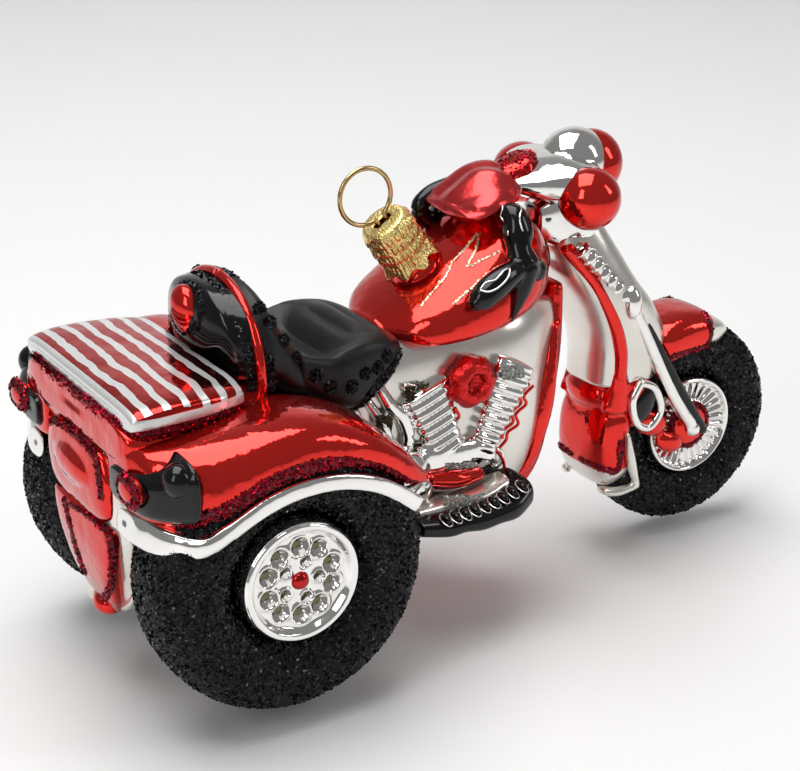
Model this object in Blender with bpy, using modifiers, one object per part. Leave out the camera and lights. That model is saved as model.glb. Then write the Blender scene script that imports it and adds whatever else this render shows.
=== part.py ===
"""Blown-glass hanging ornament in the form of a motor trike, with its gold cap and wire hanging ring.

The trike points along +X, stands on Z = 0 and is even about Y = 0. Sizes are in millimetres and MM
turns them into metres. A blown form is a loft of soft oval sections. The forms are made from the
outermost to the innermost, and each gives way to those made before it, so that neighbours lie GAP
apart. The right side is at -Y, and the left pieces are mirror images of the right ones.
"""
import math
from collections import namedtuple

import bmesh
import bpy
from mathutils import Matrix, Vector

MM = 0.001
GAP = 0.3

# A box that a form fills: its ends along X, its heights, and half its width
Box = namedtuple("Box", "rear front low high half")
RIGHT = -1

# Wheels
REAR_AXLE_X = -49.4
REAR_TYRE_R = 25.0
REAR_TYRE_W = 18.6
REAR_TRACK = 49.0
REAR_RIM_R = 11.0
FRONT_AXLE_X = 54.0
FRONT_TYRE_R = 21.0
FRONT_TYRE_W = 11.0
FRONT_RIM_R = 10.2
HUB_R = 1.7
FRONT_HUB_R = 4.6
DIMPLE_R = 1.75
DIMPLE_OUT = 6.3
RIB_COUNT = 15

# Tail, placed by the rear tyres: the end of the body and the crest of the fenders
TAIL_X = REAR_AXLE_X - REAR_TYRE_R
CREST_Z = 2 * REAR_TYRE_R + 2.4
FENDER = Box(TAIL_X, REAR_AXLE_X + REAR_TYRE_R - 0.1, CREST_Z - 18.4, CREST_Z, REAR_TYRE_W / 2 + 1.9)
FENDER_Y = REAR_TRACK / 2 - 0.9
REAR_CORE = Box(TAIL_X + 0.8, -26.0, 11.0, CREST_Z - 4.4, 14.6)
TRUNK = Box(TAIL_X - 0.2, -47.0, CREST_Z - 9.4, CREST_Z + 0.6, 23.0)
LID = Box(TAIL_X + 0.6, -52.4, CREST_Z + 0.2, CREST_Z + 4.6, 23.4)
TAIL_LAMP = Box(TAIL_X - 0.8, TAIL_X + 6.8, CREST_Z - 13.0, CREST_Z - 2.2, 9.9)
TAIL_LAMP_Y = FENDER_Y + 1.8
TRIM_Y = REAR_TRACK / 2 + REAR_TYRE_W / 2 + 0.5
TRIM_W = 1.5
APRON_OUT = 2.6

# Body
ENGINE = Box(-27.0, 19.5, 17.5, 56.0, 11.6)
TANK = Box(-18.0, 18.5, 50.5, 72.8, 16.0)
SEAT = Box(-46.6, -17.0, 42.0, 70.0, 15.0)
SHELL = Box(-53.8, -47.6, 51.0, 68.2, 15.3)
COWL = Box(-1.0, 12.6, 69.5, 80.4, 9.2)
PIPING_R = 0.9
TUBE_R = 1.7
BAR_R = 2.5

# Front
FORK_SHELL = Box(20.5, 47.0, 34.0, 67.0, 9.0)
FENDER_OUT = 2.0
FENDER_HALF = FRONT_TYRE_W / 2 + 1.6
FORK_LEG_R = 2.0
FORK_Y = 7.6
FORK_TOP = (24.0, 63.5)
FORK_KNEE = (35.6, 51.2)
SPRING_R = 1.9
SPRING_COILS = 7
HEADLAMP_R = 6.4
HEADLAMP = (28.6, 78.2)
SPOT_R = 5.8
SPOT = (22.9, 10.9, 74.2)

# Neck, cap and hanging ring, along the neck's axis from NECK_FOOT
NECK_FOOT = (-7.5, 63.2)
NECK_LEAN = math.radians(35.4)
NECK_R = 3.8
NECK_BORE_R = 2.9
NECK_H = 9.4
CAP_CLEAR = 0.4
CAP_WALL = 0.6
CAP_FOOT = 1.9
CAP_H = 10.2
CAP_LOBES = 8
SLOT_W = 1.7
WIRE_R = 0.45
LEG_SPREAD = 1.0
RING_R = 5.15

made = []


def paint(name, colour, roughness, metallic):
    material = bpy.data.materials.new(name)
    material.use_nodes = True
    shader = material.node_tree.nodes["Principled BSDF"]
    shader.inputs["Base Color"].default_value = (*colour, 1.0)
    shader.inputs["Roughness"].default_value = roughness
    shader.inputs["Metallic"].default_value = metallic
    return material


def smooth(rows, steps):
    """A soft curve (Catmull-Rom) through every row, with `steps` pieces between two rows."""
    ends = [rows[0], *rows, rows[-1]]
    soft = []
    for before, start, end, after in zip(ends, ends[1:], ends[2:], ends[3:]):
        for step in range(steps):
            t = step / steps
            soft.append(tuple(
                0.5 * (2 * q + (r - p) * t + (2 * p - 5 * q + 4 * r - s) * t * t
                       + (3 * q - p - 3 * r + s) * t ** 3)
                for p, q, r, s in zip(before, start, end, after)))
    soft.append(tuple(rows[-1]))
    return soft


def oval(centre, across, up, half, above, below, power, count):
    """A closed superellipse: `half` to each side, `above` and `below` the centre along `up`."""
    ring = []
    for k in range(count):
        turn = 2 * math.pi * k / count
        c, s = math.cos(turn), math.sin(turn)
        wide = math.copysign(abs(c) ** (2 / power), c) * half
        tall = math.copysign(abs(s) ** (2 / power), s) * (above if s > 0 else below)
        ring.append(centre + across * wide + up * tall)
    return ring


def add(name, mesh, colour, parent):
    thing = bpy.data.objects.new(name, mesh)
    parts.objects.link(thing)
    mesh.materials.append(colour)
    thing.parent = parent
    return thing


def loft(name, rings, colour, side=1):
    """Join rings of points with faces and close both ends. Side -1 turns +Y into -Y."""
    shell = bmesh.new()
    loops = [[shell.verts.new((p.x * MM, p.y * side * MM, p.z * MM)) for p in ring] for ring in rings]
    for near, far in zip(loops, loops[1:]):
        for k in range(len(near)):
            shell.faces.new((near[k - 1], near[k], far[k], far[k - 1]))
    shell.faces.new(loops[0])
    shell.faces.new(loops[-1])
    bmesh.ops.recalc_face_normals(shell, faces=shell.faces)
    mesh = bpy.data.meshes.new(name)
    shell.to_mesh(mesh)
    shell.free()
    return add(name, mesh, colour, glass)


def form(name, colour, box, rows, waist=0.5, power=2.4, count=16, steps=2, y=0.0, side=1):
    """A form along X. Each row is (along, low, high, width), as shares of the box.

    A fifth share moves the row's middle inwards, so that an outer corner can be rounded.
    """
    rings = []
    for along, low, high, width, *inwards in smooth(rows, steps):
        x = box.rear + (box.front - box.rear) * along
        bottom = box.low + (box.high - box.low) * low
        top = box.low + (box.high - box.low) * high
        middle = bottom + (top - bottom) * waist
        centre = Vector((x, y - box.half * sum(inwards), middle))
        rings.append(oval(centre, Vector((0, 1, 0)), Vector((0, 0, 1)),
                          box.half * width, top - middle, middle - bottom, power, count))
    return loft(name, rings, colour, side)


def sweep(name, colour, rows, power=2.0, count=12, steps=2, side=1):
    """A limb along a path. Each row is (x, y, z, half width along Y, half depth in the XZ plane)."""
    soft = smooth(rows, steps)
    rings = []
    for k, (x, y, z, half, deep) in enumerate(soft):
        before, after = soft[max(k - 1, 0)], soft[min(k + 1, len(soft) - 1)]
        run = Vector((after[0] - before[0], 0, after[2] - before[2])).normalized()
        out = Vector((-run.z, 0, run.x))
        rings.append(oval(Vector((x, y, z)), Vector((0, 1, 0)), out, half, deep, deep, power, count))
    return loft(name, rings, colour, side)


def turned(name, colour, profile, steps, place, parent=None):
    """A turned piece: (radius, height) points closed into a loop and screwed about local Z."""
    mesh = bpy.data.meshes.new(name)
    count = len(profile)
    mesh.from_pydata([(r * MM, 0, h * MM) for r, h in profile],
                     [(k, (k + 1) % count) for k in range(count)], [])
    piece = add(name, mesh, colour, parent or glass)
    screw = piece.modifiers.new("turn", "SCREW")
    screw.steps = screw.render_steps = steps
    screw.use_merge_vertices = True
    screw.merge_threshold = 0.00001
    piece.matrix_world = place
    return piece


def ball(name, colour, centre, radii, count=16, lean=0.0):
    """A ball or egg, leaned about Y."""
    bpy.ops.mesh.primitive_uv_sphere_add(segments=count, ring_count=count // 2, radius=MM)
    piece = bpy.context.object
    piece.name = piece.data.name = name
    for owner in piece.users_collection:
        owner.objects.unlink(piece)
    parts.objects.link(piece)
    piece.data.materials.append(colour)
    piece.parent = glass
    piece.location = Vector(centre) * MM
    piece.rotation_euler.y = lean
    piece.scale = radii
    return piece


def baked(piece):
    """The piece's evaluated mesh in world coordinates."""
    bpy.context.view_layer.update()
    depsgraph = bpy.context.evaluated_depsgraph_get()
    mesh = bpy.data.meshes.new_from_object(piece.evaluated_get(depsgraph), depsgraph=depsgraph)
    mesh.transform(piece.matrix_world)
    return mesh


def freeze(piece):
    """Apply the modifiers and placing of a raw piece, weld it and turn its faces outwards."""
    mesh = baked(piece)
    shell = bmesh.new()
    shell.from_mesh(mesh)
    bmesh.ops.remove_doubles(shell, verts=shell.verts, dist=0.000002)
    bmesh.ops.recalc_face_normals(shell, faces=shell.faces)
    shell.to_mesh(mesh)
    shell.free()
    piece.modifiers.clear()
    piece.parent = None
    piece.matrix_world = Matrix()
    piece.data = mesh
    return piece


def bulk(mesh):
    """The volume that a closed mesh holds."""
    shell = bmesh.new()
    shell.from_mesh(mesh)
    volume = shell.calc_volume(signed=True)
    shell.free()
    return volume


def closed(mesh):
    """Whether every edge of a mesh has two faces, once points that lie together are welded."""
    shell = bmesh.new()
    shell.from_mesh(mesh)
    bmesh.ops.remove_doubles(shell, verts=shell.verts, dist=0.000001)
    whole = all(len(edge.link_faces) == 2 for edge in shell.edges)
    shell.free()
    return whole


def combine(piece, other, operation):
    """Join `other` to the piece, or cut it away.

    The EXACT solver now and then loses glass, adds some or leaves a hole. The MANIFOLD solver's result
    is taken wherever the two disagree or EXACT's isn't closed.
    """
    change = piece.modifiers.new("change", "BOOLEAN")
    change.operation = operation
    change.object = other
    change.solver = "EXACT"
    usual = baked(piece)
    change.solver = "MANIFOLD"
    sure = baked(piece)
    agree = abs(bulk(usual) - bulk(sure)) < 0.001 * bulk(sure)
    piece.modifiers.clear()
    piece.data = usual if agree and closed(usual) else sure
    bpy.data.objects.remove(other)


def reach(mesh):
    """The two corners of a mesh."""
    points = [v.co for v in mesh.vertices]
    return [[pick(p[axis] for p in points) for axis in range(3)] for pick in (min, max)]


def grown(mesh, by):
    """A copy of a mesh pushed out by `by` all round."""
    copy = mesh.copy()
    shell = bmesh.new()
    shell.from_mesh(copy)
    shell.normal_update()
    moves = [v.normal * min(v.calc_shell_factor(), 1.6) * by * MM for v in shell.verts]
    for v, move in zip(shell.verts, moves):
        v.co += move
    shell.to_mesh(copy)
    shell.free()
    return copy


def keep_largest(shell):
    """Delete all but the largest run of faces that are joined through their edges."""
    left = set(shell.faces)
    runs = []
    while left:
        rim = [left.pop()]
        run = set(rim)
        while rim:
            for edge in rim.pop().edges:
                for face in edge.link_faces:
                    if face in left:
                        left.remove(face)
                        run.add(face)
                        rim.append(face)
        runs.append(run)
    largest = max(runs, key=len)
    bmesh.ops.delete(shell, geom=[face for face in shell.faces if face not in largest], context="FACES")


def tidy(mesh):
    """Keep only the largest piece that cutting has left, and merge facets that are almost flat.

    Welding or merging too much can leave an edge with four faces, so ever finer steps are tried.
    """
    cut = bmesh.new()
    cut.from_mesh(mesh)
    trials = ((0.00005, 5), (0.00002, 5), (0.000005, 4), (0.00002, 2), (0.000005, 1), (0.000001, 0.2))
    for weld, flat in trials:
        shell = cut.copy()
        bmesh.ops.remove_doubles(shell, verts=shell.verts, dist=weld)
        bmesh.ops.dissolve_limit(shell, angle_limit=math.radians(flat), verts=shell.verts, edges=shell.edges)
        bmesh.ops.triangulate(shell, faces=shell.faces)
        keep_largest(shell)
        if all(len(edge.link_faces) == 2 for edge in shell.edges):
            break
    shell.to_mesh(mesh)
    cut.free()


def fuse(name, pieces):
    """Join raw pieces that overlap into one, then settle it."""
    first = freeze(pieces[0])
    shapes = [first.data.copy()]
    for other in pieces[1:]:
        shapes.append(freeze(other).data.copy())
        combine(first, other, "UNION")
    first.name = first.data.name = name
    return settle(first, shapes)


def mirrored(mesh):
    """A copy of a mesh on the other side of the middle plane."""
    copy = mesh.copy()
    copy.transform(Matrix.Scale(-1, 4, (0, 1, 0)))
    copy.flip_normals()
    return copy


def settle(piece, shapes=None):
    """Cut a piece by every neighbour made before it, and note the shapes that will cut later ones.

    A piece whose name ends in _R gets its mirror image as the piece _L.
    """
    if shapes is None:
        shapes = [freeze(piece).data.copy()]
    low, high = reach(piece.data)
    for near, far, shape in made:
        if all(low[a] <= far[a] and high[a] >= near[a] for a in range(3)):
            knife = bpy.data.objects.new("knife", shape)
            cutters.objects.link(knife)
            combine(piece, knife, "DIFFERENCE")
    tidy(piece.data)
    piece.parent = glass
    knives = [grown(shape, GAP) for shape in shapes]
    if piece.name.endswith("_R"):
        left = bpy.data.objects.new(piece.name[:-1] + "L", mirrored(piece.data))
        parts.objects.link(left)
        left.parent = glass
        knives += [mirrored(shape) for shape in knives]
    for shape in knives:
        made.append((*reach(shape), shape))
    return piece


# Wheels

def wheel_place(x, y, radius, side):
    """Local Z of a turned wheel points outwards, along Y times the side."""
    turn = Matrix.Rotation(-side * math.pi / 2, 4, "X")
    return Matrix.Translation(Vector((x, y * side, radius)) * MM) @ turn


def tyre(name, x, y, radius, rim, width, side=1):
    """A fat round-shouldered ring. Its profile has eight corners, which reach its full size."""
    middle, deep = (radius + rim) / 2, (radius - rim) / 2
    corner = math.cos(math.pi / 8)
    profile = []
    for k in range(8):
        turn = math.pi * (2 * k + 1) / 8
        c, s = math.cos(turn), math.sin(turn)
        profile.append((middle + math.copysign((abs(c) / corner) ** 0.6, c) * deep,
                        math.copysign((abs(s) / corner) ** 0.6, s) * width / 2))
    return settle(turned(name, black_glitter, profile, 24, wheel_place(x, y, radius, side)))


def rear_wheel():
    """A dished disc with five pairs of outer dimples and five inner ones, and a cone at its middle."""
    y = REAR_TRACK / 2
    face = REAR_TYRE_W / 2
    place = wheel_place(REAR_AXLE_X, y, REAR_TYRE_R, RIGHT)
    hub_base = face - 1.6
    bpy.ops.mesh.primitive_cone_add(vertices=10, radius1=HUB_R * MM, radius2=0.4 * MM, depth=2.0 * MM)
    hub = adopt(bpy.context.object, "rear_hub_R", red)
    hub.matrix_world = place @ Matrix.Translation((0, 0, (hub_base + 0.6) * MM))
    settle(hub)
    rim = REAR_RIM_R - GAP
    profile = [(0, -face), (rim - 2, -face), (rim, -face + 2), (rim, face - 1.0), (rim - 0.6, face - 0.1),
               (rim - 1.5, face), (rim - 2.2, face - 1.4), (4.6, hub_base), (0, hub_base + 0.4)]
    wheel = freeze(turned("rear_wheel_R", silver, profile, 20, place))
    plain = wheel.data.copy()
    for k in range(15):
        outer = k % 3
        turn = math.radians(72 * (k // 3) + (17 if outer == 1 else -17 if outer == 2 else 0))
        out, size = (0.56 * DIMPLE_OUT, 0.58 * DIMPLE_R) if outer == 0 else (DIMPLE_OUT, DIMPLE_R)
        bpy.ops.mesh.primitive_cone_add(vertices=5, radius1=0.4 * size * MM, radius2=1.3 * size * MM,
                                        depth=1.4 * size * MM)
        knife = bpy.context.object
        spot = Vector((math.cos(turn) * out, math.sin(turn) * out, hub_base + 0.1 * size)) * MM
        knife.matrix_world = place @ Matrix.Translation(spot)
        combine(wheel, knife, "DIFFERENCE")
    return settle(wheel, [plain])


def adopt(piece, name, colour):
    """Give a fresh primitive its name, paint, collection and parent."""
    piece.name = piece.data.name = name
    for owner in piece.users_collection:
        owner.objects.unlink(piece)
    parts.objects.link(piece)
    piece.data.materials.append(colour)
    piece.parent = glass
    return piece


def front_wheel():
    """A disc with raised radial ribs on both faces, between two red hubs."""
    place = wheel_place(FRONT_AXLE_X, 0, FRONT_TYRE_R, 1)
    face = FRONT_TYRE_W / 2 + 0.3
    profile = [(0, 0.4), (FRONT_HUB_R, 0.4), (FRONT_HUB_R, face - 0.6), (FRONT_HUB_R - 1, face),
               (0, face + 0.3)]
    spot = wheel_place(FRONT_AXLE_X, 0, FRONT_TYRE_R, RIGHT)
    settle(turned("front_hub_R", red, profile, 16, spot))
    rim = FRONT_RIM_R - GAP
    rings = []
    for radius, low, high in ((rim, 0.9, 0.9), (rim - 1.2, 1, 1), (rim - 1.6, 0.78, 0.9),
                              (FRONT_HUB_R + 0.8, 0.68, 0.8), (FRONT_HUB_R + 0.5, 0.8, 0.8)):
        rings.append((radius, low * face, high * face))
    loops = []
    for sign, order in ((-1, rings[::-1]), (1, rings)):
        for radius, low, high in order:
            loop = []
            for k in range(2 * RIB_COUNT):
                turn = math.pi * k / RIB_COUNT
                height = sign * (high if k % 2 else low)
                spot = Vector((math.cos(turn) * radius, math.sin(turn) * radius, height))
                loop.append(place @ (spot * MM) / MM)
            loops.append(loop)
    return settle(loft("front_wheel", loops, silver))


def neck_point(across, along, y=0.0):
    """A place in the neck's own frame: across it in the XZ plane, and along its axis."""
    lean = Vector((math.cos(NECK_LEAN), 0, math.sin(NECK_LEAN)))
    axis = Vector((-math.sin(NECK_LEAN), 0, math.cos(NECK_LEAN)))
    return Vector((NECK_FOOT[0], y, NECK_FOOT[1])) + lean * across + axis * along


def neck_place():
    base = neck_point(0, 0) * MM
    return Matrix.Translation(base) @ Matrix.Rotation(-NECK_LEAN, 4, "Y")


def cap_and_hanger():
    """A stamped crown cap with a slot, on the neck, and a wire ring whose legs pass the slot."""
    place = neck_place()
    inner = NECK_R + CAP_CLEAR
    outer = inner + CAP_WALL
    top = CAP_FOOT + CAP_H

    def rim_ring(radius, height, scallop, lobe):
        ring = []
        count = 4 * CAP_LOBES
        for k in range(count):
            turn = 2 * math.pi * k / count
            wave = math.cos(CAP_LOBES * turn)
            r = radius + lobe * wave
            drop = scallop * (0.5 + 0.5 * wave)
            ring.append(Vector((math.cos(turn) * r, math.sin(turn) * r, height - drop)))
        return ring

    rings = [rim_ring(inner - 0.6, top - CAP_WALL, 0, 0), rim_ring(inner, top - CAP_WALL - 0.5, 0, 0),
             rim_ring(inner, CAP_FOOT + 1.2, 0.9, 0), rim_ring(outer + 0.2, CAP_FOOT + 0.9, 0.9, 0.15),
             rim_ring(outer, CAP_FOOT + 3.5, 0, 0.15), rim_ring(outer, top - 1.6, 0, 0.15),
             rim_ring(outer - 0.5, top - 0.4, 0, 0.1), rim_ring(outer - 1.1, top, 0, 0)]
    rings = [[place @ (p * MM) / MM for p in ring] for ring in rings]
    cap = loft("cap", rings, gold)
    bpy.ops.mesh.primitive_cube_add(size=MM)
    knife = bpy.context.object
    knife.matrix_world = place @ Matrix.Translation((0, 0, top * MM)) @ Matrix.Diagonal(
        (2 * (LEG_SPREAD + WIRE_R + 0.45), SLOT_W, 4, 1))
    combine(freeze(cap), knife, "DIFFERENCE")
    rebase(cap, cap_empty)

    ring_at = top + RING_R + WIRE_R + GAP
    turn_in = math.asin(LEG_SPREAD / RING_R)
    points = [(-LEG_SPREAD, NECK_H - 5.0), (-LEG_SPREAD, top - 1.0)]
    for k in range(21):
        turn = turn_in + (2 * math.pi - 2 * turn_in) * k / 20
        points.append((-math.sin(turn) * RING_R, ring_at - math.cos(turn) * RING_R))
    points += [(LEG_SPREAD, top - 1.0), (LEG_SPREAD, NECK_H - 5.0)]
    curve = bpy.data.curves.new("hanger", "CURVE")
    curve.dimensions = "3D"
    curve.bevel_depth = WIRE_R * MM
    curve.bevel_resolution = 1
    curve.use_fill_caps = True
    line = curve.splines.new("POLY")
    line.points.add(len(points) - 1)
    for point, (across, along) in zip(line.points, points):
        point.co = (*(neck_point(across, along) * MM), 1.0)
    wire = bpy.data.objects.new("hanger_curve", curve)
    parts.objects.link(wire)
    hanger = add("hanger", baked(wire), gold_wire, None)
    bpy.data.objects.remove(wire)
    rebase(freeze(hanger), hanger_empty)


def rebase(piece, empty):
    """Parent a piece to its joint's empty and put its origin there, without moving it."""
    bpy.context.view_layer.update()
    piece.parent = None
    piece.data.transform(empty.matrix_world.inverted())
    piece.parent = empty
    piece.matrix_parent_inverse = Matrix()
    piece.matrix_basis = Matrix()


def neck():
    profile = [(NECK_BORE_R, -1.0), (NECK_R + 1.2, -1.0), (NECK_R + 1.0, 0.6), (NECK_R, 1.3),
               (NECK_R, NECK_H), (NECK_BORE_R, NECK_H)]
    return settle(turned("neck", red, profile, 20, neck_place()))


# Pieces of the seat and the tail

def seat_parts():
    settle(form("seat", satin_black, SEAT,
                [(0.28, 0.25, 0.55, 0.95), (0.46, 0.1, 0.51, 0.98), (0.56, 0.05, 0.54, 1.0),
                 (0.7, 0.04, 0.57, 0.98), (0.87, 0.14, 0.55, 0.9), (0.97, 0.24, 0.5, 0.78),
                 (1, 0.3, 0.45, 0.66)],
                waist=0.55, power=4.0, count=16, steps=1))
    settle(form("backrest", satin_black, SEAT._replace(front=-37.0),
                [(0, 0.32, 0.93, 0.97), (0.2, 0.3, 0.945, 1.0), (0.42, 0.28, 0.85, 0.98),
                 (0.7, 0.22, 0.66, 0.96), (1, 0.2, 0.53, 0.92)], waist=0.35, power=2.6, count=16, steps=1))
    settle(form("backrest_shell", black, SHELL,
                [(0, 0.48, 0.84, 0.28), (0.12, 0.37, 0.92, 0.5), (0.36, 0.36, 0.98, 0.72),
                 (0.6, 0.05, 1, 0.87), (1, 0, 1, 0.98)], waist=0.3, count=16, steps=1))
    settle(ball("backrest_lamp", red, (SHELL.rear + 1.0, 0, 63.0), (2.6, 3.9, 4.4), 12, -0.2))
    arch = []
    for k in range(13):
        turn = math.pi * k / 12
        arch.append((SEAT.rear - 0.4, -15.5 * math.cos(turn), 52.0 + 16.6 * math.sin(turn) ** 0.8))
    settle(tube("backrest_piping", red, arch, PIPING_R, 6))


def tube(name, colour, points, radius, count=6):
    """A round bar through points in space."""
    rings = []
    spots = [Vector(p) for p in points]
    side = None
    for k, spot in enumerate(spots):
        run = (spots[min(k + 1, len(spots) - 1)] - spots[max(k - 1, 0)]).normalized()
        side = run.orthogonal().normalized() if side is None else (side - run * side.dot(run)).normalized()
        rings.append(oval(spot, side, run.cross(side), radius, radius, radius, 2, count))
    return loft(name, rings, colour)


def tail_lamps():
    """Housings that wrap the rear corners, and lenses on their rear faces."""
    settle(form("tail_lamp_R", black, TAIL_LAMP,
                [(0, 0.12, 0.58, 0.36, 0.6), (0.16, 0.03, 0.66, 0.62, 0.36), (0.5, 0, 0.8, 0.82, 0.17),
                 (0.88, 0, 1, 0.97, 0.02), (1, 0.06, 0.97, 0.95, 0.02)],
                power=4, count=12, steps=1, y=TAIL_LAMP_Y, side=RIGHT))
    settle(ball("tail_lens_R", red, (TAIL_LAMP.rear + 0.4, (FENDER_Y + 0.4) * RIGHT, TAIL_LAMP.low + 4.6),
                (1.7, 3.8, 2.5), 10))


def tail():
    settle(panel("rear_pouch", APRON_OUT,
                 [(45.6, 8.0, 0), (44.6, 11.0, 0), (41.0, 12.6, 0), (37.0, 12.6, 0), (34.0, 11.0, 0),
                  (32.4, 8.0, 0)]))
    apron = panel("apron", APRON_OUT - 0.9,
                  [(31.6, 10.0, 0), (30.6, 12.6, 0), (26.0, 11.6, 0.1), (20.0, 9.4, 1.0), (15.5, 7.0, 2.2),
                   (11.8, 3.8, 3.8)])
    fuse("rear_apron", [apron, ball("tip", red, (REAR_CORE.rear + 3.4, 0, 12.4), (2.8, 3.2, 2.4), 10)])


def panel(name, out, rows):
    """A cushion-like panel on the tail: rows of (height, half width, how far forward)."""
    rings = []
    count = len(rows)
    for k, (z, half, ahead) in enumerate(rows):
        swell = math.sin(math.pi * (k + 0.6) / (count + 0.2)) ** 0.5
        rings.append(oval(Vector((REAR_CORE.rear + ahead, 0, z)), Vector((0, 1, 0)), Vector((-1, 0, 0)),
                          half, out * swell, 3.0, 3.0, 14))
    return loft(name, rings, red)


def trunk_parts():
    settle(form("trunk_lid", red, LID,
                [(0, 0.02, 0.5, 0.92), (0.04, 0, 0.78, 0.98), (0.3, 0, 0.98, 1), (0.7, 0, 1, 0.96),
                 (0.96, 0, 0.9, 0.88), (1, 0.05, 0.7, 0.82)], waist=0.3, power=5, count=16, steps=1))
    settle(form("trunk", red, TRUNK,
                [(0, 0.35, 1, 0.86), (0.06, 0.1, 1, 0.97), (0.4, 0, 1, 1), (1, 0, 1, 0.95)],
                power=4.5, count=12, steps=1))


def fenders():
    rows = [(0, 0.3, 0.86, 0.4, 0.5), (0.03, 0.2, 0.88, 0.62, 0.33), (0.09, 0.14, 0.9, 0.81, 0.19),
            (0.17, 0.17, 0.92, 0.95, 0.06), (0.29, 0.3, 0.96, 1, 0), (0.44, 0.45, 1.0, 1, 0),
            (0.6, 0.5, 1.0, 0.98, 0), (0.78, 0.4, 0.84, 0.94, 0), (0.92, 0.16, 0.55, 0.84, 0),
            (1, 0.1, 0.3, 0.72, 0)]
    # The trim's path round the axle, in tyre radii back and up from it, how far it is set in, and its
    # half width and half height: it starts as a broad scroll at the rear corner
    edge = [(-1.0, 0.448, 14.4, 3.6, 2.3), (-0.93, 0.436, 10.0, 4.2, 2.8), (-0.83, 0.424, 6.4, 4.0, 2.6),
            (-0.7, 0.428, 2.8, 3.1, 2.1), (-0.52, 0.52, 0.2, 1.2, TRIM_W), (-0.26, 0.635, 0, 0.9, TRIM_W),
            (0, 0.69, 0, 0.9, TRIM_W), (0.3, 0.675, 0.1, 0.9, TRIM_W), (0.6, 0.565, 0.5, 0.9, TRIM_W),
            (0.91, 0.335, 2.2, 0.9, TRIM_W)]
    settle(form("rear_fender_R", red, FENDER, rows, waist=0.35, power=2.7, count=14, steps=1,
                y=FENDER_Y, side=RIGHT))
    settle(sweep("bumper_trim_R", silver,
                 [(REAR_AXLE_X + along * REAR_TYRE_R, TRIM_Y - inset, (1 + up) * REAR_TYRE_R, half, deep)
                  for along, up, inset, half, deep in edge], power=2.6, count=8, steps=1, side=RIGHT))


# Pieces of the engine

def engine_parts():
    face = ENGINE.half
    place = wheel_place(-4.0, face, 44.8, RIGHT)
    profile = [(0, -0.5), (4.4, -0.5), (4.9, 2.2), (3.9, 4.0), (2.2, 4.4), (1.7, 3.0), (0, 2.8)]
    settle(turned("air_cleaner_R", red, profile, 14, place))
    settle(sweep("gear_cover_R", red,
                 [(-14.8, face + 2.6, 28.6, 1.8, 1.4), (-9.0, face + 3.4, 27.9, 2.2, 2.0),
                  (-2.8, face + 2.6, 27.6, 1.8, 1.4)], count=8, side=RIGHT))
    fuse("twin_cylinders_R",
         [barrel((-2.4, 29.0), (6.2, 45.6), 3.6), barrel((-8.2, 29.0), (-14.4, 46.0), 4.2),
          sweep("crankcase", silver,
                [(-16.0, face + 0.2, 31.0, 2.4, 3.4), (-6.0, face + 0.2, 30.0, 2.6, 3.6),
                 (1.0, face + 0.2, 30.0, 2.2, 3.0)], power=3, count=8, steps=1, side=RIGHT),
          ball("dome", silver, (-18.0, (face + 2.0) * RIGHT, 30.4), (4.6, 3.4, 4.2), 12)])
    settle(footboard())


def barrel(low, high, half):
    """A finned barrel: its depth rises and falls once for each fin."""
    fins = 6
    rows = []
    for k in range(2 * fins + 1):
        share = k / (2 * fins)
        groove = 0.5 if k % 2 else 0.0
        rows.append((low[0] + (high[0] - low[0]) * share, ENGINE.half + 0.4 - groove,
                     low[1] + (high[1] - low[1]) * share, 2.6 - groove, half * (0.8 + 0.2 * share) - groove))
    return sweep("barrel", silver, rows, power=2.6, count=6, steps=1, side=RIGHT)


def footboard():
    """A glossy board with raised ribs across it."""
    ribs = 7
    rows = []
    for k in range(2 * ribs + 1):
        along = k / (2 * ribs)
        high = 0.82 if k % 2 else 1.0
        swell = math.sin(math.pi * along)
        rows.append((along, 0.1 - 0.1 * swell, high, 0.7 + 0.3 * swell))
    board = Box(-18.4, 4.2, 19.2, 23.8, 7.4)
    return form("footboard_R", black, board, rows, power=3.6, count=8, steps=1, y=16.6, side=RIGHT)


def frame_parts():
    path = [(21.2, 56.0, 5.0), (20.2, 45.0, 6.4), (18.2, 33.9, 7.0), (14.6, 22.4, 7.6), (8.0, 17.6, 8.0),
            (-4.0, 16.6, 8.4), (-18.0, 17.2, 8.6)]
    settle(sweep("down_tube", red, [(x, 0, z, half, TUBE_R) for x, z, half in path],
                 power=3, count=8, steps=1))


# Pieces of the front

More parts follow.
